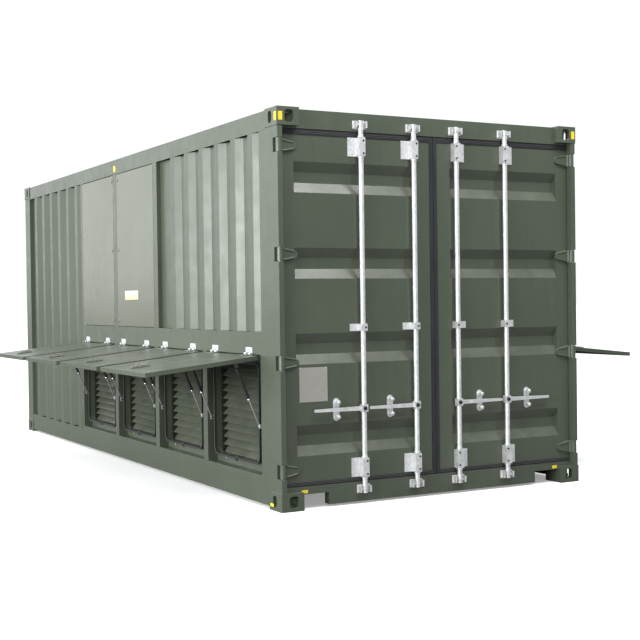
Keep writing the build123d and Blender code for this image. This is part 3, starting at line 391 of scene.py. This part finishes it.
def welded_copy(node, size):
    """Copy of a CAD node with shared vertices and rounded edges, which stands for it."""
    source = frame["nodes"][node]
    work = bmesh.new()
    work.from_mesh(source.data)
    bmesh.ops.remove_doubles(work, verts=work.verts, dist=WELD_DISTANCE)
    bmesh.ops.dissolve_limit(work, angle_limit=radians(FLAT_ANGLE), verts=work.verts, edges=work.edges)
    name = f"{node}_dressed"
    mesh = bpy.data.meshes.new(name)
    work.to_mesh(mesh)
    work.free()
    piece = bpy.data.objects.new(name, mesh)
    bpy.context.scene.collection.objects.link(piece)
    slot = SLOTS[node]
    mesh.materials.append(SHADED_SLEEVE if node == "intake_frames" else MATERIALS[slot])
    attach(piece, source["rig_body"])
    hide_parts(node)
    round_edges(piece, size, FOLD_ANGLE if "panel" in node else EDGE_ANGLE)


def rod_mesh(work, start, end, radius, sides):
    """Add a cylinder between two points."""
    start, end = Vector(start), Vector(end)
    along = end - start
    turn = along.to_track_quat("Z", "Y").to_matrix().to_4x4()
    matrix = Matrix.Translation((start + end) / 2) @ turn
    bmesh.ops.create_cone(work, cap_ends=True, segments=sides, radius1=radius, radius2=radius,
                          depth=along.length, matrix=matrix)


def lathe(work, centre, axis, profile, sides=24):
    """Add a turned shape: profile is a list of (radius, distance along the axis)."""
    axis = Vector(axis).normalized()
    turn = axis.to_track_quat("Z", "Y").to_matrix()
    rings = []
    for radius, along in profile:
        ring = []
        for i in range(sides):
            angle = tau * i / sides
            local = Vector((radius * cos(angle), radius * sin(angle), along))
            ring.append(work.verts.new(Vector(centre) + turn @ local))
        rings.append(ring)
    for lower, upper in zip(rings, rings[1:]):
        for i in range(sides):
            k = (i + 1) % sides
            work.faces.new((lower[i], lower[k], upper[k], upper[i]))
    work.faces.new(list(reversed(rings[0])))
    work.faces.new(rings[-1])


def hex_bolt(work, centre, axis, across, height, washer):
    """Hexagon head with a chamfered crown on a round washer."""
    axis = Vector(axis).normalized()
    lathe(work, centre, axis, [(washer, 0.0), (washer, WASHER_THICKNESS)], 20)
    base = Vector(centre) + axis * WASHER_THICKNESS
    corner = across / 2 / cos(pi / 6)
    lathe(work, base, axis, [(corner, 0.0), (corner, height * 0.8), (corner * 0.86, height)], 6)


def dome(work, centre, axis, radius, height, sides=16):
    """Rivet or screw head."""
    steps = 4
    profile = [(radius * cos(i * pi / 2 / steps), height * sin(i * pi / 2 / steps)) for i in range(steps)]
    profile.append((radius * 0.08, height))
    lathe(work, centre, axis, profile, sides)


def card(work, corner, across, up, thickness, out, round_by=0.0):
    """Thin plate from a corner, two edge vectors and an outward direction, with cut corners."""
    corner, across, up, out = Vector(corner), Vector(across), Vector(up), Vector(out).normalized()
    a, b = across.normalized() * round_by, up.normalized() * round_by
    points = [corner + a, corner + across - a, corner + across + b, corner + across + up - b,
              corner + across + up - a, corner + up + a, corner + up - b, corner + b]
    if not round_by:
        points = [corner, corner + across, corner + across + up, corner + up]
    lower = [work.verts.new(point) for point in points]
    upper = [work.verts.new(point + out * thickness) for point in points]
    count = len(points)
    for i in range(count):
        k = (i + 1) % count
        work.faces.new((lower[i], lower[k], upper[k], upper[i]))
    work.faces.new(upper)
    work.faces.new(list(reversed(lower)))
    bmesh.ops.recalc_face_normals(work, faces=work.faces)


# ---------------------------------------------------------------- places from the frame
def place_of(joint):
    return Vector(joints[joint]["pos_m"])


# Directions
UP = Vector((0, 0, 1))
ALONG = Vector((0, 1, 0))
FRONT = Vector((0, -1, 0))

# Small fasteners: (head width or radius, head height, washer radius where there is one)
WASHER_THICKNESS = 0.0022
BEARING_SCREW = (0.010, 0.005, 0.0065)
HUB_SCREW = (0.020, 0.010, 0.014)
CATCH_RIVET = (0.010, 0.005)
PLATE_RIVET = (0.004, 0.0018)
INTAKE_SCREW = (0.005, 0.003)
HINGE_SCREW = (0.0055, 0.0025)
LATCH_SCREW = (0.005, 0.002)

# Cargo doors
DOOR_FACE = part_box("left_door_gasket")[0].y + 0.005
PIN_X = place_of("right_door_hinge").x
ROD_Y = place_of("right_inner_rod_turn").y
RODS = {"inner": place_of("right_inner_rod_turn").x, "outer": place_of("right_outer_rod_turn").x}
ROD_RADIUS = 0.017
COLLAR_PROUD = 0.004
COLLAR_GAP = 0.001
COLLAR_LENGTH = 0.012
COLLAR_CHAMFER = 0.001
HANDLE_HEIGHT = 0.635
HUB_HALF_DEPTH = 0.017
BEARINGS = ((0.180, 0.306), (1.147, 1.194), (2.299, 2.423))
BEARING_FRONT = 0.020
BEARING_SCREW_INBOARD = 0.010
BEARING_SCREW_FROM_END = 0.020
CATCH_FROM_ROD = 0.195
CATCH_BOSSES = (-0.048, 0.048)
CATCH_FRONT = 0.038
PLATE_CORNER = Vector((-1.055, DOOR_FACE - 0.002, 0.693))
PLATE_SIZE = (0.207, 0.225)
PLATE_FACE = 0.0006
CARD_CORNER = 0.004
PLATE_RIVET_INSET = 0.010
BLADE_LEVELS = (0.255, 0.9527, 1.6503, 2.348)
BLADE_THICKNESS = 0.012
BLADE_RIB_START = 0.034
BLADE_RIB_END = 0.113
BLADE_RIB_SPREAD = (0.034, 0.020)
BLADE_RIB_RADIUS = 0.0055
LIP_RADIUS = 0.0022
LIP_MIDDLE = 0.016
LIP_SPACING_UPRIGHT = 0.008
LIP_SPACING_LEVEL = 0.005
LIP_END_GAP = 0.004
LIP_LEVEL_LIMITS = (0.032, 0.006)
LIP_LEVEL_INSETS = (0.014, 0.020)

# Intakes, flaps and struts
INTAKES = [place_of(f"flap_hinge_left_{number}").y for number in (1, 2, 3, 4)]
INTAKE_BACK = SIDE_FACE - 0.075
INTAKE_SCREW_OFFSET = 0.415
INTAKE_SCREW_LEVELS = (0.36, 0.60, 0.84)
FOOT_SCREW_OFFSET = 0.30
FOOT_SCREW_LEVEL = 0.236
SEAL_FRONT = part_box("intake_seals")[1].x
KEEPER_LEVEL = 0.268
KEEPER_SUNK = 0.010
KEEPER_PROFILE = [(0.018, 0.0), (0.018, 0.008), (0.010, 0.010)]
FLAP_HINGE_OFFSETS = (-0.280, 0.280)
HINGE_SCREW_STEPS = (-0.034, 0.0, 0.034)
HINGE_LEAF_FACE = SIDE_FACE + 0.006
HINGE_LEAF_LEVEL = 1.030
FLAP_LEAF_REACH = 0.030
FLAP_LEAF_TOP = -0.005
LATCH_BASE_TOP = -0.004
LATCH_SCREW_OFFSETS = (-0.057, 0.057)
STIFFENER_REACHES = (0.25, 0.40, 0.55)
STIFFENER_DEPTH = -0.016
STIFFENER_HALF = 0.33
STIFFENER_RADIUS = 0.005
STRUT_LATERAL = 0.396
STRUT_TUBE = 0.248
STRUT_CAP_START = 0.017
GLAND_PROFILE = [(0.0108, -0.012), (0.0118, -0.011), (0.0118, 0.001), (0.0085, 0.005), (0.0056, 0.006)]
CAP_PROFILE = [(0.006, 0.0), (0.0085, 0.001), (0.0118, 0.007), (0.0118, 0.012)]

# Outlet doors
OUTLET_LOCKS = (1.201, 1.807, 2.407)
OUTLET_LOCK_INSET = 0.030
OUTLET_LOCK_FRONT = 0.003
LOCK_PROFILE = [(0.0095, 0.0), (0.0088, 0.0025), (0.006, 0.003)]
LOCK_SLOT = Vector((0.0024, 0.014, 0.0012))
LABEL_FROM_HINGE = 0.370
LABEL_HALF = (0.315, 0.037)
LABEL_LEVELS = {"low": 1.379, "high": 1.416}
LABEL_THICKNESS = 0.0008

# Castings, welds and yellow marks
CASTING = Vector((0.162, 0.178, 0.118))
LOW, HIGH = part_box("corner_castings")
WELD_INSET = 0.0045
WELD_RADIUS = 0.0035
WELD_OVERLAP = 0.006
REAR_POST_REACH = 0.104
RAIL_WELD_DROP = 0.012
RAIL_WELD_RADIUS = 0.004
MARK_LIFT = 0.0008
MARK_CORNER = 0.002
TOP_MARK = (0.030, 0.056)
TOP_MARK_INSET = 0.010
TOP_MARK_LEVEL = 2.502
FOOT_MARK = (0.048, 0.020)
FOOT_MARK_INSET = 0.118
FOOT_MARK_LEVEL = LOW.z + 0.024
SILL_MARK = (0.044, 0.022)
SILL_MARK_MIDDLE = 1.030
SILL_MARK_LEVEL = 0.104
SILL_FACE = -2.985
RAIL_MARK = (0.050, 0.050)
RAIL_MARK_PLACE = (0.090, 2.484)


# ---------------------------------------------------------------- CAD copies
def dress_cad():
    """Rounded copies of the plated and rubber nodes; the rest keep their mesh and get a material."""
    sizes = {"corner_castings": CASTING_EDGE, "container_frame": FRAME_EDGE, "wall_panels": PLATE_EDGE,
             "frame_hardware": FITTING_EDGE, "intake_seals": RUBBER_EDGE, "intake_frames": PLATE_EDGE,
             "control_cabinet": PANEL_EDGE}
    for hand in SIDES:
        sizes[f"{hand}_door_panel"] = PANEL_EDGE
        sizes[f"{hand}_door_gasket"] = RUBBER_EDGE
        sizes[f"{hand}_door_fittings"] = FITTING_EDGE
        for which in RODS:
            sizes[f"{hand}_{which}_lock_rod"] = FITTING_EDGE
        for which in ("front", "rear"):
            sizes[f"{hand}_{which}_outlet_door"] = OUTLET_EDGE
    for flap in FLAPS:
        sizes[f"flap_latch_{flap}"] = FITTING_EDGE
    for node, size in sizes.items():
        welded_copy(node, size)
    for node, source in frame["nodes"].items():
        if node in sizes:
            continue
        source.data.materials.clear()
        source.data.materials.append(HEATED if node == "resistor_banks" else MATERIALS[SLOTS[node]])
        shade_by_angle(source, EDGE_ANGLE)


# ---------------------------------------------------------------- doors
def door_bolts(hand, side):
    """Bearing bolts and catch rivets of one door."""
    body = f"{hand}_door"
    work = bmesh.new()
    front = ROD_Y - BEARING_FRONT
    for rod in RODS.values():
        for low, high in BEARINGS:
            tall = high - low > 3 * BEARING_SCREW_FROM_END
            levels = (low + BEARING_SCREW_FROM_END, high - BEARING_SCREW_FROM_END)
            for level in levels if tall else ((low + high) / 2,):
                centre = (side * (rod - BEARING_SCREW_INBOARD), front, level)
                hex_bolt(work, centre, FRONT, *BEARING_SCREW)
    object_from(f"{body}_bearing_bolts", work, MATERIALS["strut_black"], body)
    work = bmesh.new()
    for rod in RODS.values():
        for offset in CATCH_BOSSES:
            centre = (side * (rod + CATCH_FROM_ROD), DOOR_FACE - CATCH_FRONT, HANDLE_HEIGHT + offset)
            dome(work, centre, FRONT, *CATCH_RIVET)
    object_from(f"{body}_catch_rivets", work, MATERIALS["galvanised"], body, True)


def data_plate():
    """Blank face and corner rivets of the data plate."""
    across, tall = PLATE_SIZE
    inset = PLATE_RIVET_INSET
    work = bmesh.new()
    card(work, PLATE_CORNER, (across, 0, 0), (0, 0, tall), PLATE_FACE, FRONT, CARD_CORNER)
    object_from("data_plate_face", work, PLATE_GREY, "left_door")
    work = bmesh.new()
    for x in (inset, across - inset):
        for z in (inset, tall - inset):
            dome(work, PLATE_CORNER + Vector((x, -PLATE_FACE, z)), FRONT, *PLATE_RIVET)
    object_from("data_plate_rivets", work, MATERIALS["latch_steel"], "left_door", True)


def rod_details(hand, side, which):
    """Collars above and below the end bearings, and the hub bolt."""
    body = f"{hand}_{which}_lock_rod"
    rod = side * RODS[which]
    outer = ROD_RADIUS + COLLAR_PROUD
    end = COLLAR_LENGTH + COLLAR_CHAMFER
    profile = [(ROD_RADIUS, COLLAR_GAP), (outer, COLLAR_GAP + COLLAR_CHAMFER), (outer, COLLAR_LENGTH),
               (ROD_RADIUS, end)]
    work = bmesh.new()
    for low, high in (BEARINGS[0], BEARINGS[-1]):
        lathe(work, (rod, ROD_Y, high), UP, profile, 28)
        lathe(work, (rod, ROD_Y, low), -UP, profile, 28)
    object_from(f"{body}_collars", work, MATERIALS["galvanised"], body)
    work = bmesh.new()
    hex_bolt(work, (rod, ROD_Y - HUB_HALF_DEPTH, HANDLE_HEIGHT), FRONT, *HUB_SCREW)
    object_from(f"{body}_hub_bolt", work, MATERIALS["strut_black"], body)


def blade_ribs(hand, side):
    """Raised ribs along each hinge blade."""
    body = f"{hand}_door"
    work = bmesh.new()
    face = DOOR_FACE - BLADE_THICKNESS
    root = side * (PIN_X - BLADE_RIB_START)
    tip = side * (PIN_X - BLADE_RIB_END)
    wide, narrow = BLADE_RIB_SPREAD
    for level in BLADE_LEVELS:
        for way in (-1, 1):
            rod_mesh(work, (root, face, level + way * wide), (tip, face, level + way * narrow),
                     BLADE_RIB_RADIUS, 12)
    olive = MATERIALS["olive_paint"]
    piece = object_from(f"{hand}_hinge_blade_ribs", work, olive, body, True)
    shade_by_angle(piece, 50)


def gasket_lips(hand, side):
    """Two fine lips along each visible gasket strip."""
    work = bmesh.new()
    low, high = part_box(f"{hand}_door_gasket")
    front = low.y
    for way in (-1, 1):
        x = side * LIP_MIDDLE + way * LIP_SPACING_UPRIGHT
        rod_mesh(work, (x, front, low.z + LIP_END_GAP), (x, front, high.z - LIP_END_GAP), LIP_RADIUS, 8)
    inner, from_edge = LIP_LEVEL_LIMITS
    outer = max(abs(low.x), abs(high.x)) - from_edge
    from_foot, from_head = LIP_LEVEL_INSETS
    for level in (low.z + from_foot, high.z - from_head):
        for way in (-1, 1):
            z = level + way * LIP_SPACING_LEVEL
            rod_mesh(work, (side * inner, front, z), (side * outer, front, z), LIP_RADIUS, 8)
    rubber_black = MATERIALS["rubber_black"]
    piece = object_from(f"{hand}_gasket_lips", work, rubber_black, f"{hand}_door")
    shade_by_angle(piece, 60)


# ---------------------------------------------------------------- intakes, flaps and struts
def intake_details():
    """Seal keepers, frame screws and hinge leaf screws of all eight intakes."""
    screws = bmesh.new()
    keepers = bmesh.new()
    for side in SIDES.values():
        out = (side, 0, 0)
        back = side * INTAKE_BACK
        for centre in INTAKES:
            for way in (-1, 1):
                for level in INTAKE_SCREW_LEVELS:
                    dome(screws, (back, centre + way * INTAKE_SCREW_OFFSET, level), out, *INTAKE_SCREW)
            for way in (-1, 1):
                dome(screws, (back, centre + way * FOOT_SCREW_OFFSET, FOOT_SCREW_LEVEL), out, *INTAKE_SCREW)
            lathe(keepers, (side * (SEAL_FRONT - KEEPER_SUNK), centre, KEEPER_LEVEL), out, KEEPER_PROFILE)
            for offset in FLAP_HINGE_OFFSETS:
                for step in HINGE_SCREW_STEPS:
                    place = (side * HINGE_LEAF_FACE, centre + offset + step, HINGE_LEAF_LEVEL)
                    dome(screws, place, out, *HINGE_SCREW)
    object_from("intake_screws", screws, MATERIALS["latch_steel"], "container", True)
    object_from("intake_keepers", keepers, MOULDING, "container", True)


def flap_frame(side, name):
    """Hinge point of a flap, the way along it from the hinge, and the way out of its outer face."""
    out = Vector(joints[f"flap_latch_turn_{name}"]["axis"]).normalized()
    reach = Vector((side * out.z, 0, -abs(out.x)))
    return place_of(f"flap_hinge_{name}"), reach, out


def flap_details(name, side):
    """Leaf screws, latch screws and stiffener beads of one flap."""
    origin, reach, out = flap_frame(side, name)
    body = f"flap_{name}"
    work = bmesh.new()
    leaf = origin + reach * FLAP_LEAF_REACH + out * FLAP_LEAF_TOP
    for offset in FLAP_HINGE_OFFSETS:
        for step in HINGE_SCREW_STEPS:
            dome(work, leaf + ALONG * (offset + step), out, *HINGE_SCREW)
    latch = place_of(f"flap_latch_turn_{name}") - origin
    base = origin + reach * latch.dot(reach) + ALONG * latch.dot(ALONG) + out * LATCH_BASE_TOP
    for offset in LATCH_SCREW_OFFSETS:
        dome(work, base + reach * offset, out, *LATCH_SCREW)
    object_from(f"flap_screws_{name}", work, MATERIALS["latch_steel"], body, True)
    work = bmesh.new()
    half = ALONG * STIFFENER_HALF
    for distance in STIFFENER_REACHES:
        centre = origin + reach * distance + out * STIFFENER_DEPTH
        rod_mesh(work, centre - half, centre + half, STIFFENER_RADIUS, 10)
    piece = object_from(f"flap_stiffeners_{name}", work, MATERIALS["olive_paint"], body)
    shade_by_angle(piece, 60)


def strut_details(name):
    """Gland rings and end caps on the two tubes of a flap."""
    middle = place_of(f"strut_pivot_{name}")
    down = -Vector(joints[f"strut_slide_{name}"]["axis"])
    tube = f"strut_cylinder_{name}"
    glands = bmesh.new()
    caps = bmesh.new()
    for way in (-1, 1):
        top = middle + ALONG * way * STRUT_LATERAL
        lathe(glands, top + down * STRUT_TUBE, down, GLAND_PROFILE, 28)
        lathe(caps, top + down * STRUT_CAP_START, down, CAP_PROFILE, 28)
    object_from(f"strut_gland_{name}", glands, MATERIALS["rod_chrome"], tube, True)
    object_from(f"strut_cap_{name}", caps, MATERIALS["strut_black"], tube, True)


# ---------------------------------------------------------------- outlets
def outlet_locks(hand, side):
    """Slotted quarter-turn locks along the meeting edges of both outlet doors."""
    front = side * (SIDE_FACE + OUTLET_LOCK_FRONT)
    for which, way in (("front", 1), ("rear", -1)):
        node = f"{hand}_{which}_outlet_door"
        low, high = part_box(node)
        edge = high.y if way > 0 else low.y
        slot_corner = Vector((side * LOCK_PROFILE[-1][1], -LOCK_SLOT.x / 2, -LOCK_SLOT.y / 2))
        work = bmesh.new()
        for level in OUTLET_LOCKS:
            centre = Vector((front, edge - way * OUTLET_LOCK_INSET, level))
            lathe(work, centre, (side, 0, 0), LOCK_PROFILE, 20)
            corner = centre + slot_corner
            card(work, corner, ALONG * LOCK_SLOT.x, UP * LOCK_SLOT.y, LOCK_SLOT.z, (side, 0, 0))
        object_from(f"{node}_lock_slots", work, MATERIALS["latch_steel"], node)


def outlet_label(hand, side):
    """Bare label on the front outlet door, pale yellow below and white above."""
    node = f"{hand}_front_outlet_door"
    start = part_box(node)[0].y + LABEL_FROM_HINGE
    wide, tall = LABEL_HALF
    for part, colour in (("low", PALE_YELLOW), ("high", WHITE)):
        work = bmesh.new()
        corner = (side * SIDE_FACE, start, LABEL_LEVELS[part])
        card(work, corner, (0, wide, 0), (0, 0, tall), LABEL_THICKNESS, (side, 0, 0), CARD_CORNER)
        object_from(f"{hand}_outlet_label_{part}", work, colour, node)


# ---------------------------------------------------------------- container body
def casting_welds(work, sx, sy):
    """Beads where a post meets its upper and lower casting."""
    x = sx * (HIGH.x - WELD_INSET)
    y = sy * (HIGH.y - WELD_INSET)
    for level in (CASTING.z, HIGH.z - CASTING.z):
        rod_mesh(work, (x, sy * (HIGH.y - CASTING.y + WELD_OVERLAP), level), (x, y, level), WELD_RADIUS, 10)
        if sy > 0:
            rod_mesh(work, (sx * (HIGH.x - REAR_POST_REACH), y, level), (x, y, level), WELD_RADIUS, 10)


def rail_welds(work, sx, sy):
    """Short beads at both ends of the top rail's face."""
    x = sx * SIDE_FACE
    y = sy * (HIGH.y - CASTING.y)
    for level in (HIGH.z - RAIL_WELD_DROP, HIGH.z - CASTING.z):
        rod_mesh(work, (x, y, level), (x, y, level - RAIL_WELD_RADIUS), RAIL_WELD_RADIUS, 10)


def weld_beads():
    """Fillet welds where posts, rails and castings meet."""
    work = bmesh.new()
    for sx in (-1, 1):
        for sy in (-1, 1):
            casting_welds(work, sx, sy)
            rail_welds(work, sx, sy)
    piece = object_from("frame_welds", work, MATERIALS["olive_paint"], "container", True)
    shade_by_angle(piece, 60)


def yellow_marks():
    """Bare yellow marks on the castings, the sill and the top rail."""
    work = bmesh.new()

    def side_mark(x, y, z, size):
        card(work, (x, y, z), (0, size[0], 0), (0, 0, size[1]), MARK_LIFT, (x, 0, 0), MARK_CORNER)

    def front_mark(middle, y, z, size):
        corner = (middle - size[0] / 2, y, z)
        card(work, corner, (size[0], 0, 0), (0, 0, size[1]), MARK_LIFT, FRONT, MARK_CORNER)

    for side in SIDES.values():
        face = side * HIGH.x
        top_middle = side * (HIGH.x - TOP_MARK_INSET - TOP_MARK[0] / 2)
        side_mark(face, LOW.y + TOP_MARK_INSET, TOP_MARK_LEVEL, TOP_MARK)
        front_mark(top_middle, LOW.y, TOP_MARK_LEVEL, TOP_MARK)
        side_mark(face, LOW.y + FOOT_MARK_INSET, FOOT_MARK_LEVEL, FOOT_MARK)
        front_mark(side * SILL_MARK_MIDDLE, SILL_FACE, SILL_MARK_LEVEL, SILL_MARK)
        side_mark(side * SIDE_FACE, *RAIL_MARK_PLACE, RAIL_MARK)
    object_from("yellow_marks", work, YELLOW, "container")


# ---------------------------------------------------------------- stage
FLOOR_SIZE = 400
FLOOR_BOUNCE = (0.20, 0.20, 0.20)
FLOOR_SHADES = ((0.90, 0.90, 0.90), (0.93, 0.93, 0.93))
FLOOR_GLOW = 0.30
# Each ramp: world axis, direction it starts and ends at, strength at its start and at its end
SKY_RAMPS = (("Y", -0.5, 0.35, 0.50, 1.05), ("X", 0.0, -0.9, 0.0, 1.3))
SKY_COLOUR = (0.97, 1.0, 1.0, 1.0)
# Each light: name, place, aim, size and power
LIGHTS = (("side_light", (-11.0, -3.5, 2.2), (0, 0, 1.0), (9.0, 3.0), 1250),
          ("top_light", (0.3, -6.0, 7.5), (0, -2.8, 1.0), (5.0, 3.0), 520))


def floor():
    """Pale floor, white to the camera and dimmer to bounced light."""
    bpy.ops.mesh.primitive_plane_add(size=FLOOR_SIZE, location=(0, 0, 0))
    plane = bpy.context.object
    plane.name = "floor"
    look = Look("pale_floor", Roughness=0.8)
    drift = look.remap(look.noise(0.4, 4.0), 0.3, 0.7)
    tone = look.mix(drift, *FLOOR_SHADES)
    seen = look.nodes.new("ShaderNodeLightPath").outputs["Is Camera Ray"]
    look.colour(look.mix(seen, FLOOR_BOUNCE, tone))
    look.shader.inputs["Emission Color"].default_value = (1.0, 1.0, 1.0, 1.0)
    look.link(look.maths("MULTIPLY", seen, FLOOR_GLOW), look.shader.inputs["Emission Strength"])
    look.bump(look.noise(40.0, 3.0), 0.02, 0.001)
    plane.data.materials.append(look.material)


def sky():
    """White studio that is dimmer in front of the doors and brightest beyond the long side."""
    world = bpy.data.worlds.new("studio")
    bpy.context.scene.world = world
    world.use_nodes = True
    tree = world.node_tree
    direction = tree.nodes.new("ShaderNodeTexCoord").outputs["Generated"]
    split = tree.nodes.new("ShaderNodeSeparateXYZ")
    tree.links.new(direction, split.inputs["Vector"])
    total = tree.nodes.new("ShaderNodeMath")
    for socket, (axis, *numbers) in zip(total.inputs, SKY_RAMPS):
        ramp = tree.nodes.new("ShaderNodeMapRange")
        for key, number in zip(("From Min", "From Max", "To Min", "To Max"), numbers):
            ramp.inputs[key].default_value = number
        tree.links.new(split.outputs[axis], ramp.inputs["Value"])
        tree.links.new(ramp.outputs["Result"], socket)
    background = tree.nodes["Background"]
    background.inputs["Color"].default_value = SKY_COLOUR
    tree.links.new(total.outputs["Value"], background.inputs["Strength"])


def area_light(name, place, aim, size, power):
    data = bpy.data.lights.new(name, "AREA")
    data.shape = "RECTANGLE"
    data.size, data.size_y = size
    data.energy = power
    light = bpy.data.objects.new(name, data)
    light.location = place
    light.rotation_euler = (Vector(aim) - Vector(place)).to_track_quat("-Z", "Y").to_euler()
    bpy.context.scene.collection.objects.link(light)


def camera():
    azimuth, elevation, roll = (radians(angle) for angle in (CAMERA_AZIMUTH, CAMERA_ELEVATION, CAMERA_ROLL))
    back = Vector((sin(azimuth) * cos(elevation), -cos(azimuth) * cos(elevation), sin(elevation)))
    right = (-back).cross(UP).normalized()
    up = right.cross(-back)
    turned_right = right * cos(roll) + up * sin(roll)
    turned_up = up * cos(roll) - right * sin(roll)
    data = bpy.data.cameras.new("camera")
    data.lens = CAMERA_LENS
    data.sensor_width = CAMERA_SENSOR
    data.clip_end = CAMERA_CLIP
    eye = bpy.data.objects.new("camera", data)
    turn = Matrix((turned_right, turned_up, back)).transposed()
    eye.matrix_world = Matrix.Translation(CAMERA_PLACE) @ turn.to_4x4()
    bpy.context.scene.collection.objects.link(eye)
    bpy.context.scene.camera = eye


# ---------------------------------------------------------------- assembly
dress_cad()
for hand, side in SIDES.items():
    door_bolts(hand, side)
    blade_ribs(hand, side)
    gasket_lips(hand, side)
    outlet_locks(hand, side)
    outlet_label(hand, side)
    for which in RODS:
        rod_details(hand, side, which)
for name in FLAPS:
    flap_details(name, SIDES[name.split("_")[0]])
    strut_details(name)
data_plate()
intake_details()
weld_beads()
yellow_marks()
floor()
sky()
for light in LIGHTS:
    area_light(*light)
camera()
bpy.context.scene.view_settings.view_transform = "Standard"
bpy.context.scene.view_settings.look = "None"
